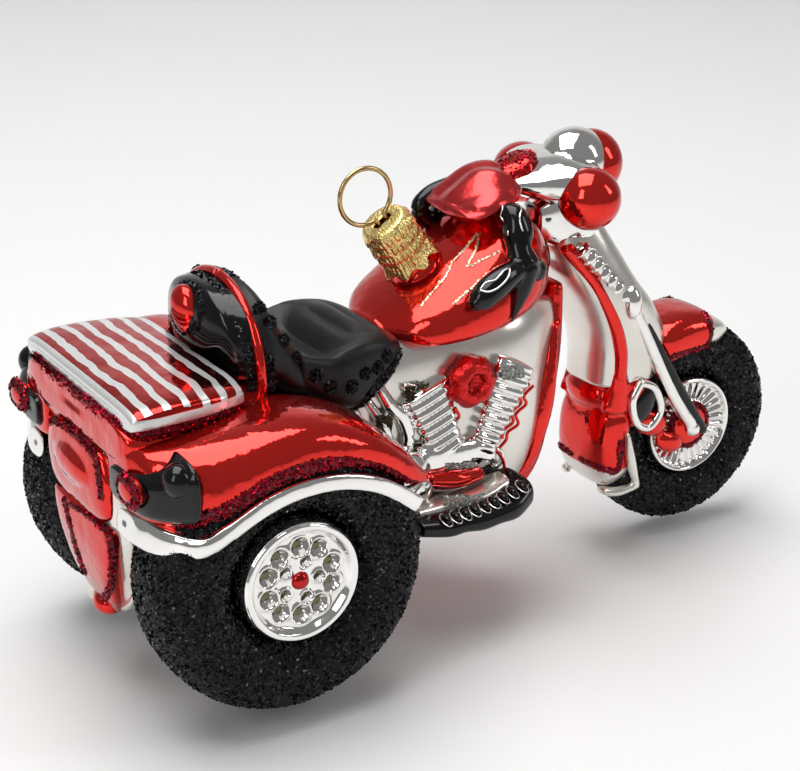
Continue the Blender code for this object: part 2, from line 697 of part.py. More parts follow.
def head_parts():
    settle(ball("passing_lamp_R", red, (SPOT[0], SPOT[1] * RIGHT, SPOT[2]), (SPOT_R, SPOT_R, SPOT_R), 12))
    bar = [(4.6, 7.6, 78.0), (7.0, 9.8, 75.6), (6.9, 11.6, 71.8), (5.8, 13.4, 67.8), (5.8, 14.6, 65.0)]
    lever = [(6.2, 14.6, 64.8), (4.8, 15.4, 61.0), (3.2, 15.8, 56.2)]
    grip = [(6.6, 14.8, 65.2), (-0.2, 16.3, 63.2), (-5.4, 16.9, 61.4)]
    limbs = [tube(limb, black, [(x, y * RIGHT, z) for x, y, z in route], radius)
             for limb, route, radius in (("bar", bar, BAR_R), ("grip", grip, 1.9), ("lever", lever, 1.2))]
    fuse("handlebar_R", limbs + [ball("end", black, (8.8, 14.2 * RIGHT, 63.6), (1.9, 1.9, 2.0), 8)])
    settle(form("gauge", red, Box(9.2, 16.8, 75.6, 81.6, 4.8),
                [(0, 0.3, 0.55, 0.4), (0.25, 0.1, 0.75, 0.8), (0.7, 0.2, 0.95, 0.9), (1, 0.5, 1, 0.5)],
                count=10, steps=1))
    settle(form("cowl", red, COWL,
                [(0, 0.25, 0.46, 0.8), (0.16, 0.12, 0.68, 1), (0.45, 0.1, 0.97, 1), (0.75, 0.2, 1, 0.86),
                 (1, 0.4, 0.8, 0.5)], waist=0.45, power=1.7, count=10, steps=1))
    settle(ball("headlamp_lens", red, (HEADLAMP[0] + 2.4, 0, HEADLAMP[1] - 0.7),
                (HEADLAMP_R - 0.6, HEADLAMP_R - 0.2, HEADLAMP_R - 0.1), 14))


def head_core():
    dome = ball("dome", silver, (HEADLAMP[0] - 1.6, 0, HEADLAMP[1] + 0.1),
                (HEADLAMP_R + 0.4, HEADLAMP_R, HEADLAMP_R), 14)
    bridge = form("bridge", silver, Box(10.0, 27.0, 71.0, 82.6, 12.0),
                  [(0, 0.4, 0.6, 0.4), (0.3, 0.2, 0.74, 0.7), (0.65, 0.1, 0.88, 1), (1, 0.15, 0.8, 0.8)],
                  count=12, steps=1)
    fuse("headlamp_nacelle", [dome, bridge])
    settle(form("steering_head", silver, Box(18.0, 31.0, 62.0, 75.0, 6.4),
                [(0, 0.25, 0.75, 0.5), (0.3, 0.05, 1, 0.85), (0.7, 0, 1, 1), (1, 0.1, 0.8, 0.7)],
                power=2.8, count=14, steps=1))


def around(degrees, radius):
    """A place round the front axle, in the XZ plane."""
    turn = math.radians(degrees)
    return FRONT_AXLE_X + radius * math.cos(turn), FRONT_TYRE_R + radius * math.sin(turn)


def fender_arc(name, colour, start, end, out, half, deep, steps):
    """A band that follows the front tyre from one angle to the other."""
    rings = []
    for k in range(steps + 1):
        share = k / steps
        turn = math.radians(start + (end - start) * share)
        x, z = around(start + (end - start) * share, FRONT_TYRE_R + out - deep)
        swell = 1 - 0.5 * (2 * share - 1) ** 6
        outwards = Vector((math.cos(turn), 0, math.sin(turn)))
        rings.append(oval(Vector((x, 0, z)), Vector((0, 1, 0)), outwards,
                          half * swell, deep * swell, deep, 3.0, 14))
    return loft(name, rings, colour)


def front_parts():
    leg = (FRONT_AXLE_X - 1.6, FRONT_TYRE_R + 1.2)
    knob = ball("knob", silver, (FORK_KNEE[0], (FORK_Y + 0.6) * RIGHT, FORK_KNEE[1]), (2.0, 2.4, 3.6), 12)
    stem = sweep("stem", silver,
                 [(FORK_KNEE[0], FORK_Y, FORK_KNEE[1], FORK_LEG_R, FORK_LEG_R * 0.8),
                  (leg[0] - 6, FORK_Y + 0.2, leg[1] + 9, FORK_LEG_R * 0.85, FORK_LEG_R * 0.9),
                  (leg[0], FORK_Y + 0.2, leg[1], FORK_LEG_R, FORK_LEG_R * 1.1)], side=RIGHT)
    rows = []
    for k in range(2 * SPRING_COILS + 1):
        share = k / (2 * SPRING_COILS)
        thick = SPRING_R * (0.72 if k % 2 else 1.0)
        rows.append((FORK_TOP[0] + (FORK_KNEE[0] - FORK_TOP[0]) * share, FORK_Y,
                     FORK_TOP[1] + (FORK_KNEE[1] - FORK_TOP[1]) * share, thick, thick))
    spring = sweep("spring", silver, rows, count=7, steps=1, side=RIGHT)
    fuse("fork_leg_R", [knob, stem, spring])
    settle(fender_arc("fender_lobe", red, 121, 76, FENDER_OUT + 1.2, FENDER_HALF + 1.2, 4.4, 6))
    settle(fender_arc("fender_flap", red, 205, 153, FENDER_OUT + 1.4, FENDER_HALF + 1.4, 4.4, 6))
    band = [(22.4, 63.4, 5.0), (27.4, 56.5, 7.0), (31.8, 48.3, 7.7), (34.0, 41.6, 7.6), (34.4, 35.8, 7.2)]
    settle(sweep("fork_band_R", red, [(x, y, z, 1.4, 1.4) for x, z, y in band], count=8, steps=1,
                 side=RIGHT))


def front_core():
    settle(fork_shell())
    settle(fender_arc("front_fender", pearl, 208, 61, FENDER_OUT, FENDER_HALF, 3.3, 13))


def fork_shell():
    """The pearl form between the legs, lofted upwards: (height, rear, front, half width) rows."""
    box = FORK_SHELL
    rows = [(0, 0.36, 0.92, 0.88), (0.24, 0.35, 1.0, 0.95), (0.45, 0.26, 0.88, 1.0), (0.64, 0.14, 0.7, 0.96),
            (0.82, 0.04, 0.56, 0.8), (1, 0, 0.42, 0.6)]
    rings = []
    for up, rear, front, width in smooth(rows, 1):
        z = box.low + (box.high - box.low) * up
        back, fore = (box.rear + (box.front - box.rear) * share for share in (rear, front))
        rings.append(oval(Vector(((back + fore) / 2, 0, z)), Vector((0, 1, 0)), Vector((1, 0, 0)),
                          box.half * width, (fore - back) / 2, (fore - back) / 2, 3.0, 14))
    return loft("fork_shell", rings, pearl)


def tank():
    return form("tank", red, TANK,
                [(0, 0.14, 0.26, 0.4), (0.11, 0.04, 0.4, 0.78), (0.27, 0.02, 0.57, 0.96),
                 (0.49, 0.02, 0.8, 1), (0.63, 0.05, 0.95, 0.95), (0.76, 0.1, 1, 0.85),
                 (0.88, 0.2, 0.92, 0.66), (1, 0.36, 0.7, 0.32)],
                waist=0.32, power=2.3, count=20, steps=1)


def core_parts():
    settle(form("engine_core", pearl, ENGINE,
                [(0, 0.35, 0.9, 0.8), (0.25, 0.12, 0.98, 1), (0.55, 0.02, 1, 1), (0.8, 0.04, 1, 0.92),
                 (1, 0.5, 0.96, 0.5)], power=4, count=16, steps=1))
    settle(form("rear_core", pearl, REAR_CORE,
                [(0, 0.42, 0.96, 0.92), (0.03, 0.23, 0.98, 0.97), (0.07, 0.08, 1, 1), (0.12, 0.01, 1, 1),
                 (0.5, 0.08, 1, 1), (0.8, 0.2, 1, 0.95), (1, 0.3, 0.95, 0.9)],
                waist=0.7, power=2.4, count=16, steps=1))


def build():
    """Large forms come first and keep their shape; what sits on them is fitted to their surface."""
    cap_and_hanger()
    neck()
    rear_wheel()
    tyre("rear_tyre_R", REAR_AXLE_X, REAR_TRACK / 2, REAR_TYRE_R, REAR_RIM_R, REAR_TYRE_W, RIGHT)
    front_wheel()
    tyre("front_tyre", FRONT_AXLE_X, 0, FRONT_TYRE_R, FRONT_RIM_R, FRONT_TYRE_W)
    seat_parts()
    settle(tank())
    tail_lamps()
    trunk_parts()
    core_parts()
    fenders()
    tail()
    head_core()
    front_core()
    frame_parts()
    head_parts()
    front_parts()
    engine_parts()


def middle_the_origin():
    """Move the whole trike along X so that the origin is under the middle of its length."""
    bpy.context.view_layer.update()
    xs = [(piece.matrix_world @ v.co).x for piece in parts.objects if piece.type == "MESH"
          for v in piece.data.vertices]
    glass.location.x = -(min(xs) + max(xs)) / 2


for thing in list(bpy.data.objects):
    bpy.data.objects.remove(thing)
parts = bpy.data.collections.new("glass_trike_ornament")
cutters = bpy.data.collections.new("cutters")
bpy.context.scene.collection.children.link(parts)
bpy.context.scene.collection.children.link(cutters)
cutters.hide_render = True

red = paint("red_lacquer", (0.55, 0.01, 0.01), 0.15, 0.6)
silver = paint("silvered_glass", (0.85, 0.84, 0.8), 0.08, 1.0)
pearl = paint("pearl_lacquer", (0.85, 0.83, 0.8), 0.45, 0.3)
black = paint("black_lacquer", (0.01, 0.01, 0.01), 0.1, 0.0)
satin_black = paint("satin_black", (0.012, 0.012, 0.014), 0.4, 0.0)
black_glitter = paint("black_glitter", (0.02, 0.02, 0.022), 0.5, 0.2)
gold = paint("stamped_gold", (0.8, 0.55, 0.15), 0.3, 1.0)
gold_wire = paint("gold_wire", (0.6, 0.42, 0.15), 0.3, 1.0)

glass = bpy.data.objects.new("glass_body", None)
parts.objects.link(glass)
cap_empty = bpy.data.objects.new("cap_axis", None)
hanger_empty = bpy.data.objects.new("hanger_axis", None)
for empty, parent in ((cap_empty, glass), (hanger_empty, cap_empty)):
    parts.objects.link(empty)
    empty.parent = parent
cap_empty.matrix_basis = neck_place()
bpy.context.view_layer.update()
build()
middle_the_origin()
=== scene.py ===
# %% [markdown]
# # A glass hanging ornament in the form of a motor trike
#
# The real object is blown: a bubble of hot glass is pressed by air into a mould, so every form on it is
# a soft bulge in one thin skin. It is silvered inside like a mirror, then painted outside with clear red
# lacquer, black and pearl paint, and glitter stuck on with glue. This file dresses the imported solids
# with smooth skins of the same forms, and gives each of them its paint.

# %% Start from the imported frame
import math

import bpy
import numpy as np
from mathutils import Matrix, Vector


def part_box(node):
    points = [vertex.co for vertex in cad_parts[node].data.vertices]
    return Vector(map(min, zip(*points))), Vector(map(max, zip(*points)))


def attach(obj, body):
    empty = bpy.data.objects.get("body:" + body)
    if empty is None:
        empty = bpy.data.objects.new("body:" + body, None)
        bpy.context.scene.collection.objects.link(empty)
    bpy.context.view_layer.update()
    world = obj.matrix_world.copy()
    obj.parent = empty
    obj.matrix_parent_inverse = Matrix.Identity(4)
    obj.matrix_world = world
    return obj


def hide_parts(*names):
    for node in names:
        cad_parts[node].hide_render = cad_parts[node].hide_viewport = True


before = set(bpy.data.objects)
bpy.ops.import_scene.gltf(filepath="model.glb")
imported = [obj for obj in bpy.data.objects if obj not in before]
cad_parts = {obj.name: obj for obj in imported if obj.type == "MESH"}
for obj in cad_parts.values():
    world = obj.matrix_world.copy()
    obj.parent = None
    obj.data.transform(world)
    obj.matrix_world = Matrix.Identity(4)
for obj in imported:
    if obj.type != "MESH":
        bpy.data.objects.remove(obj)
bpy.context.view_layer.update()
MM = 0.001
# The wheels, in millimetres as in the part's source: axle, radius, radius of the rim, width
REAR_AXLE, REAR_R, REAR_RIM, REAR_W = -49.4, 25.0, 11.0, 18.6
FRONT_AXLE, FRONT_R, FRONT_RIM, FRONT_W = 54.0, 21.0, 10.2, 11.0
TRACK = 49.0
REAR_FACE = TRACK / 2 + REAR_W / 2
# The source ends by moving the whole trike along X. The shapes below are written without that shift.
tyre_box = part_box("rear_tyre_R")
SHIFT = (tyre_box[0][0] + tyre_box[1][0]) / 2 / MM - REAR_AXLE
print("solids:", len(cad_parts), "shift along X in mm:", round(SHIFT, 3))

# %% [markdown]
# ## Curves and sections
#
# A mould maker carves a few sections by eye and lets the form run smoothly through them. A
# Catmull-Rom curve does the same with numbers: it passes through every row that is given and rounds
# the way between them. Sections are superellipses, because one number turns them from an egg into a
# cushion and on into a box with soft corners.

# %% Unit vectors, angles and bent waves
def unit(vectors, least=1e-9):
    """v / |v| along the last axis, or v / least where v is shorter than that."""
    return vectors / np.maximum(np.linalg.norm(vectors, axis=-1, keepdims=True), least)


def dots(a, b):
    """The dot products a . b along the last axis."""
    return np.einsum("...k,...k->...", a, b)


def full_turn(count, closed=False):
    """Even angles from 0 to 2 pi. Only a closed turn has 2 pi itself as its last angle."""
    return np.linspace(0, 2 * np.pi, count, endpoint=closed)


def bent(wave, power):
    """sign(w) |w|^power: below 1 it squares a wave's shoulders, and above 1 it sharpens its peaks."""
    return np.sign(wave) * np.abs(wave) ** power


print("four angles:", np.round(full_turn(4), 2).tolist())

# %% A soft curve through rows
def soft(rows, steps):
    """Catmull-Rom: each new row is a cubic blend, in t, of the four given rows around it."""
    rows = np.asarray(rows, float)
    ends = np.vstack([rows[:1], rows, rows[-1:]])
    t = (np.arange(steps) / steps)[None, :, None]
    p, q, r, s = (ends[k:len(rows) - 1 + k, None, :] for k in range(4))
    curve = 0.5 * (2 * q + (r - p) * t + (2 * p - 5 * q + 4 * r - s) * t ** 2
                   + (3 * q - p - 3 * r + s) * t ** 3)
    return np.vstack([curve.reshape(-1, rows.shape[1]), rows[-1:]])


print("a soft curve through 3 rows has", len(soft([(0, 0), (1, 2), (2, 0)], 8)), "rows")

# %% Superellipse sections
def ovals(half, above, below, power, count=72):
    """One oval a row: |across / half|^power + |up / tall|^power = 1, its height apart above and below."""
    turn = full_turn(count)
    across = bent(np.cos(turn), 2 / power) * np.asarray(half)[:, None]
    tall = np.where(np.sin(turn) > 0, np.asarray(above)[:, None], np.asarray(below)[:, None])
    return across, bent(np.sin(turn), 2 / power) * tall


def domed(grid, first=0.0, last=0.0):
    """Round both ends: ring k shrinks with cos(t) to its middle and moves outwards by bulge * sin(t)."""
    t = np.linspace(0, np.pi / 2, 6)[1:-1, None, None]
    rows = [grid]
    for ring, inner, bulge, front in ((grid[0], grid[1], first, True), (grid[-1], grid[-2], last, False)):
        middle = ring.mean(0)
        out = unit(middle - inner.mean(0))
        cap = middle + (ring - middle)[None] * np.cos(t) + out * bulge * np.sin(t)
        tip = np.repeat((middle + out * bulge)[None, None], ring.shape[0], 1)
        rows = [tip, cap[::-1]] + rows if front else rows + [cap, tip]
    return np.concatenate(rows)


print("three rings and their rounded ends:", domed(np.zeros((3, 8, 3))).shape)

# %% A form along X
def form(box, rows, waist=0.5, power=2.4, y=0.0, ends=(0.8, 0.8), steps=8, count=72):
    """A form along X. Each row is (along, low, high, width, inwards), as shares of the box.

    The box is (rear, front, low, high, half width). A row may leave out `inwards`.
    """
    rear, front, bottom, top, half = box
    full = soft([tuple(row) + (0,) * (5 - len(row)) for row in rows], steps)
    x = rear + (front - rear) * full[:, 0]
    low = bottom + (top - bottom) * full[:, 1]
    high = bottom + (top - bottom) * full[:, 2]
    middle = low + (high - low) * waist
    across, up = ovals(half * full[:, 3], high - middle, middle - low, power, count)
    centre = y - half * full[:, 4]
    grid = np.stack([x[:, None] + 0 * across, centre[:, None] + across, middle[:, None] + up], -1)
    return domed(grid, *ends)


print("a form's grid:", form((0, 1, 0, 1, 1), [(0, 0, 1, 1), (1, 0, 1, 1)]).shape)

# %% A limb along a path in the XZ plane, and a tube in space
def limb(rows, power=2.0, ends=(0.6, 0.6), steps=8, count=32):
    """Ovals set square to a path. Each row is (x, y, z, half width along Y, half depth across the path)."""
    full = soft(rows, steps)
    run = unit(np.gradient(full[:, [0, 2]], axis=0))
    across, up = ovals(full[:, 3], full[:, 4], full[:, 4], power, count)
    grid = np.stack([full[:, 0, None] - run[:, 1, None] * up, full[:, 1, None] + across,
                     full[:, 2, None] + run[:, 0, None] * up], -1)
    return domed(grid, *ends)


def tube(points, radius, ends=0.5, steps=4, count=16):
    """Circles square to a path in space, turned as little as they can be from one to the next."""
    path = soft(points, steps) if steps > 1 else np.asarray(points, float)
    run = unit(np.gradient(path, axis=0))
    side = np.cross(run, (0.0, 0.0, 1.0) if abs(run[0, 2]) < 0.9 else (0.0, 1.0, 0.0))
    if np.ptp(path[:, 1]) < 1e-6:
        side = np.repeat([[0.0, 1.0, 0.0]], len(path), 0)
    side = unit(side, 0)
    up = np.cross(run, side)
    turn = full_turn(count)[None, :, None]
    thick = np.broadcast_to(np.asarray(radius, float).reshape(-1, 1, 1), (len(path), 1, 1))
    grid = path[:, None] + thick * (side[:, None] * np.cos(turn) + up[:, None] * np.sin(turn))
    return domed(grid, ends, ends)


def ball(centre, radii, lean=0.0, count=32):
    """An egg: radii times the unit sphere, leaned about Y."""
    polar = np.linspace(0, np.pi, count // 2 + 1)[:, None]
    turn = full_turn(count)[None]
    x, y, z = (part * size for part, size in zip(
        (np.sin(polar) * np.cos(turn), np.sin(polar) * np.sin(turn), np.cos(polar) + 0 * turn), radii))
    c, s = math.cos(lean), math.sin(lean)
    return np.stack([x * c + z * s, y, z * c - x * s], -1) + np.asarray(centre, float)


print("a tube's grid:", tube([(0, 0, 0), (0, 5, 5), (0, 9, 5)], 1).shape)

# %% [markdown]
# ## From a grid of points to a mesh
#
# Glass is closed all round, so every grid runs round on itself and ends in a pole at both ends. The
# faces are worked out as whole arrays too. The signed volume tells if they point inwards, and then
# they are turned over.

# %% The mesh of one or more grids
def faces_of(rings, around, start):
    """Quads between neighbouring rings, and triangles to a pole at each end."""
    k = np.arange(around)
    nxt = (k + 1) % around
    first = start + 1
    row = first + np.arange(rings - 1)[:, None] * around
    quads = np.stack([row + k, row + nxt, row + around + nxt, row + around + k], -1).reshape(-1, 4)
    last = first + (rings - 1) * around
    head = np.stack([np.full(around, start), first + nxt, first + k], -1)
    tail = np.stack([np.full(around, last + around), last + k, last + nxt], -1)
    return quads, np.vstack([head, tail])


def skin(name, grids, finish, nodes=(), body="glass_body", loop=False):
    """One smooth closed mesh from grids in millimetres.

    A `loop` grid has no poles: it closes from its last ring to its first.
    """
    points, quads, triangles, start = [], [], [], 0
    for grid in grids:
        rings, around = grid.shape[:2]
        if loop:
            k, r = np.arange(around), np.arange(rings)[:, None]
            near, far = r * around, (r + 1) % rings * around
            nxt = (k + 1) % around
            four = np.stack([near + k, near + nxt, far + nxt, far + k], -1).reshape(-1, 4) + start
            three = np.zeros((0, 3), int)
            cloud = grid.reshape(-1, 3)
        else:
            four, three = faces_of(rings, around, start)
            cloud = np.vstack([grid[0].mean(0), grid.reshape(-1, 3), grid[-1].mean(0)])
        corner = cloud - cloud.mean(0)
        a, b, c, d = (corner[four[:, n] - start] for n in range(4))
        volume = dots(a, np.cross(b, c)).sum() + dots(a, np.cross(c, d)).sum()
        if volume < 0:
            four, three = four[:, ::-1], three[:, ::-1]
        points.append(cloud)
        quads.append(four)
        triangles.append(three)
        start += len(cloud)
    return mesh_piece(name, np.vstack(points), np.vstack(quads), np.vstack(triangles), finish, nodes, body)


def mesh_piece(name, points, quads, triangles, finish, nodes=(), body="glass_body"):
    """Put the arrays into a mesh in one go, shade it smooth and let it ride its body."""
    corners = np.concatenate([quads.ravel(), triangles.ravel()]).astype(np.int32)
    sizes = np.concatenate([np.full(len(quads), 4), np.full(len(triangles), 3)]).astype(np.int32)
    mesh = bpy.data.meshes.new(name)
    mesh.vertices.add(len(points))
    mesh.vertices.foreach_set("co", ((points + [SHIFT, 0, 0]) * MM).astype(np.float32).ravel())
    mesh.loops.add(len(corners))
    mesh.loops.foreach_set("vertex_index", corners)
    mesh.polygons.add(len(sizes))
    mesh.polygons.foreach_set("loop_start", np.concatenate([[0], np.cumsum(sizes)[:-1]]).astype(np.int32))
    mesh.polygons.foreach_set("use_smooth", np.ones(len(sizes), bool))
    mesh.update(calc_edges=True)
    mesh.validate()
    mesh.materials.append(finish)
    piece = bpy.data.objects.new(name, mesh)
    bpy.context.scene.collection.objects.link(piece)
    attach(piece, body)
    if nodes:
        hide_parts(*nodes)
    return piece


def flipped(grid):
    """The same grid on the other side of the trike: y becomes -y."""
    return grid * [1, -1, 1]


def both(name, grids, finish, swap=True):
    """The right piece and its mirror image, each in the place of its own solid."""
    right = skin(name + "_skin_R", grids, finish, (name + "_R",) if swap else ())
    left = skin(name + "_skin_L", [flipped(grid) for grid in grids], finish, (name + "_L",) if swap else ())
    return right, left


def melted(piece, voxel, rounds=4):
    """Run the forms of one piece into one skin, as in a bubble of glass: a voxel remesh, then smoothing."""
    one = piece.modifiers.new("one_skin", "REMESH")
    one.mode, one.voxel_size, one.use_smooth_shade = "VOXEL", voxel * MM, True
    relax = piece.modifiers.new("soft_creases", "SMOOTH")
    relax.factor, relax.iterations = 0.5, rounds


def rope(rows):
    """A tube whose thickness changes along it: rows of (x, y, z, radius)."""
    full = soft(rows, 6)
    return tube(full[:, :3], full[:, 3], 1.0, 1, 20)


print("helpers ready")

# %% [markdown]
# ## Paints
#
# The glass is silvered on the inside. Clear red lacquer over that mirror gives a red that is bright
# where it is seen square on, and deeper at its rims, because light crosses more of the lacquer there.
# It is made as a metal whose colour follows the facing angle, below a clear coat. Blown glass is
# never quite even, so a soft noise bends the reflections a little.

# %% A helper for the nodes, and the wobble of blown glass
def finish(name, colour, roughness, metallic, **sockets):
    """A new material with its even values set straight on the shader's sockets."""
    material = bpy.data.materials.new(name)
    material.use_nodes = True
    shader = material.node_tree.nodes["Principled BSDF"]
    shader.inputs["Base Color"].default_value = (*colour, 1)
    shader.inputs["Roughness"].default_value = roughness
    shader.inputs["Metallic"].default_value = metallic
    for socket, value in sockets.items():
        shader.inputs[socket.replace("_", " ")].default_value = value
    return material


def object_place(material):
    """The object coordinates of a material, as a socket."""
    nodes = material.node_tree.nodes
    return (nodes.get("Texture Coordinate") or nodes.new("ShaderNodeTexCoord")).outputs["Object"]


def noise(material, scale, detail):
    """The value, from 0 to 1, of a noise over the piece; the scale counts lumps in a metre."""
    cloud = material.node_tree.nodes.new("ShaderNodeTexNoise")
    cloud.inputs["Scale"].default_value = scale
    cloud.inputs["Detail"].default_value = detail
    material.node_tree.links.new(object_place(material), cloud.inputs["Vector"])
    return cloud.outputs["Fac"]


def relief(material, scale, detail, height):
    """Let a noise raise the surface by up to `height` metres, after any relief that is there already."""
    nodes, links = material.node_tree.nodes, material.node_tree.links
    shader = nodes["Principled BSDF"]
    raised = nodes.new("ShaderNodeBump")
    raised.inputs["Distance"].default_value = height
    links.new(noise(material, scale, detail), raised.inputs["Height"])
    if shader.inputs["Normal"].is_linked:
        links.new(shader.inputs["Normal"].links[0].from_socket, raised.inputs["Normal"])
    for socket in ("Normal", "Coat Normal"):
        links.new(raised.outputs["Normal"], shader.inputs[socket])


def ramp(material, source, stops):
    """Colour the paint along a value from 0 to 1, with a colour for each stop (place, (r, g, b))."""
    nodes, links = material.node_tree.nodes, material.node_tree.links
    band = nodes.new("ShaderNodeValToRGB")
    points = band.color_ramp.elements
    while len(points) < len(stops):
        points.new(0.5)
    for point, (place, colour) in zip(points, stops):
        point.position = place
        point.color = (*colour, 1)
    links.new(source, band.inputs["Fac"])
    links.new(band.outputs["Color"], nodes["Principled BSDF"].inputs["Base Color"])


def lacquer(name, square, rim, roughness, wobble=0.0005, coat=0.3):
    """Clear lacquer over silvered glass: one colour square on, a deeper one at the rims."""
    material = finish(name, square, roughness, 0.86, Coat_Weight=coat, Coat_Roughness=0.03, Coat_IOR=1.5)
    facing = material.node_tree.nodes.new("ShaderNodeLayerWeight")
    facing.inputs["Blend"].default_value = 0.45
    between = tuple(0.7 * a + 0.3 * b for a, b in zip(square, rim))
    ramp(material, facing.outputs["Facing"], [(0.0, square), (0.55, between), (1.0, rim)])
    relief(material, 95, 1.5, wobble)
    relief(material, 330, 2, wobble * 0.3)
    return material


RED_SQUARE, RED_RIM, RED_ROUGHNESS = (0.86, 0.026, 0.017), (0.34, 0.002, 0.004), 0.08
red = lacquer("red_lacquer_over_silver", RED_SQUARE, RED_RIM, RED_ROUGHNESS)
deep_red = lacquer("deep_red_lacquer", (0.55, 0.010, 0.010), (0.18, 0.001, 0.003), 0.14)
print("lacquers:", red.name, deep_red.name)

# %% [markdown]
# ## Silver, pearl and black
#
# Bare silvered glass is a mirror. The pearl paint is a thin milky coat that lets a little of the
# mirror through, so it is half metal and rather rough. The black paint hides the mirror wholly, and
# the seat's black is duller, with a fine skin.

# %% Plain paints
silver = finish("silvered_glass", (0.90, 0.885, 0.855), 0.07, 1.0)
relief(silver, 170, 2, 0.0004)
pearl = finish("pearl_paint", (0.82, 0.78, 0.72), 0.24, 0.82, Coat_Weight=0.3, Coat_Roughness=0.08)
ramp(pearl, noise(pearl, 60, 3), [(0.3, (0.72, 0.675, 0.61)), (0.7, (0.88, 0.85, 0.80))])
relief(pearl, 70, 1.5, 0.0007)
black = finish("black_gloss_paint", (0.003, 0.003, 0.0035), 0.16, 0.0, Specular_IOR_Level=0.22,
               Coat_Weight=0.3, Coat_Roughness=0.04)
relief(black, 120, 2, 0.0002)
satin = finish("satin_black_paint", (0.006, 0.006, 0.007), 0.42, 0.0, Specular_IOR_Level=0.32)
relief(satin, 900, 2, 0.00004)
relief(satin, 120, 2, 0.0002)
gold = finish("stamped_gold_sheet", (0.92, 0.72, 0.28), 0.27, 1.0)
relief(gold, 1900, 2, 0.00022)
gold_wire = finish("gold_wire", (0.55, 0.40, 0.19), 0.2, 1.0)
relief(gold_wire, 700, 2, 0.00003)
print("paints:", len(bpy.data.materials))

# %% [markdown]
# ## Glitter
#
# Glitter is cut foil: tiny flat flakes that lie in glue at every angle. Each flake is one small face,
# and a few thousand of them share one mesh. They are scattered with a seeded chance over a grid, so
# the same flakes come back on each run.

# %% Scatter flakes over a grid
def on_grid(grid, along, around):
    """Points and outward normals at fractional places on a grid, blended from the four nearest nodes."""
    rows, count = grid.shape[:2]
    i = np.clip(along, 0, rows - 1.001)
    r, f = i.astype(int), (i % 1)[:, None]
    j = np.mod(around, count)
    c, g = j.astype(int) % count, (j % 1)[:, None]
    n = (c + 1) % count
    p00, p01, p10, p11 = grid[r, c], grid[r, n], grid[r + 1, c], grid[r + 1, n]
    spot = (p00 * (1 - g) + p01 * g) * (1 - f) + (p10 * (1 - g) + p11 * g) * f
    normal = unit(np.cross(p01 + p11 - p00 - p10, p10 + p11 - p00 - p01))
    away = spot - grid.reshape(-1, 3).mean(0)
    return spot, normal if dots(normal, away).sum() >= 0 else -normal


def flakes(name, spots, normals, size, material, seed, lift=0.05):
    """One four-cornered flake a spot, square to the surface's normal plus a random part of it."""
    rng = np.random.default_rng(seed)
    count = len(spots)
    facing_to = unit(normals + 0.9 * rng.normal(0, 0.5, (count, 3)))
    side = unit(np.cross(facing_to, rng.normal(0, 1, (count, 3))))
    up = np.cross(facing_to, side)
    reach = size * rng.uniform(0.6, 1.25, (count, 1)) / 2
    middle = spots + normals * (lift * rng.uniform(0.2, 1.0, (count, 1)))
    corners = np.stack([middle + reach * (side * a + up * b)
                        for a, b in ((-1, -0.7), (0.8, -1), (1, 0.8), (-0.7, 1))], 1)
    corners[..., 2] = np.maximum(corners[..., 2], 0)
    quads = np.arange(4 * count).reshape(-1, 4)
    piece = mesh_piece(name, corners.reshape(-1, 3), quads, np.zeros((0, 3), int), material)
    piece.data.polygons.foreach_set("use_smooth", np.zeros(count, bool))


def area_scatter(grid, count, seed, keep=None):
    """Random places on a grid, as many on each patch as its area asks for."""
    rng = np.random.default_rng(seed)
    rolled = np.roll(grid, -1, 1)
    a = grid[1:] - grid[:-1]
    b = rolled[:-1] - grid[:-1]
    area = np.linalg.norm(np.cross(a, b), axis=-1)
    if keep is not None:
        area = area * keep((grid[1:] + grid[:-1] + rolled[1:] + rolled[:-1]) / 4)
    patch = rng.choice(area.size, count, p=area.ravel() / area.sum())
    row, column = np.divmod(patch, grid.shape[1])
    return on_grid(grid, row + rng.random(count), column + rng.random(count))


def speckled(name, dark, light, roughness, metallic):
    """Foil or grains: from one flake to the next the colour drifts between two tones with a fine noise."""
    material = finish(name, dark, roughness, metallic)
    ramp(material, noise(material, 1500, 1), [(0.38, dark), (0.62, light)])
    return material


black_glitter = speckled("black_glitter", (0.012, 0.012, 0.014), (0.034, 0.034, 0.038), 0.16, 0.85)
red_glitter = speckled("dark_red_glitter", (0.22, 0.004, 0.014), (0.38, 0.008, 0.026), 0.22, 1.0)
gold_glitter = speckled("champagne_glitter", (0.90, 0.73, 0.51), (1.0, 0.87, 0.69), 0.25, 1.0)
tyre_paint = finish("black_glue_under_glitter", (0.003, 0.003, 0.0035), 0.5, 0.0, Specular_IOR_Level=0.2)
relief(tyre_paint, 1500, 2, 0.0004)
red_glue = finish("dark_red_glue", (0.11, 0.003, 0.008), 0.45, 0.3)
relief(red_glue, 2400, 2, 0.00025)
print("glitter ready")

# %% [markdown]
# ## Tyres
#
# The three tyres are fat round rings, all black glue and coarse black glitter. The ring is a
# superellipse carried round the axle, and its flakes stand up at every angle, which gives the rough
# edge that is seen against the floor.

# %% The tyres and their glitter
def turned(profile, x, y, z, side=1, count=96):
    """A profile of (radius, outwards) carried round an axle: (x + r cos t, side (y + out), z + r sin t)."""
    profile = np.asarray(profile, float)
    turn = full_turn(count)[None]
    r, out = profile[:, 0, None], profile[:, 1, None]
    return np.stack([x + r * np.cos(turn), y * side + side * out + 0 * turn, z + r * np.sin(turn)], -1)


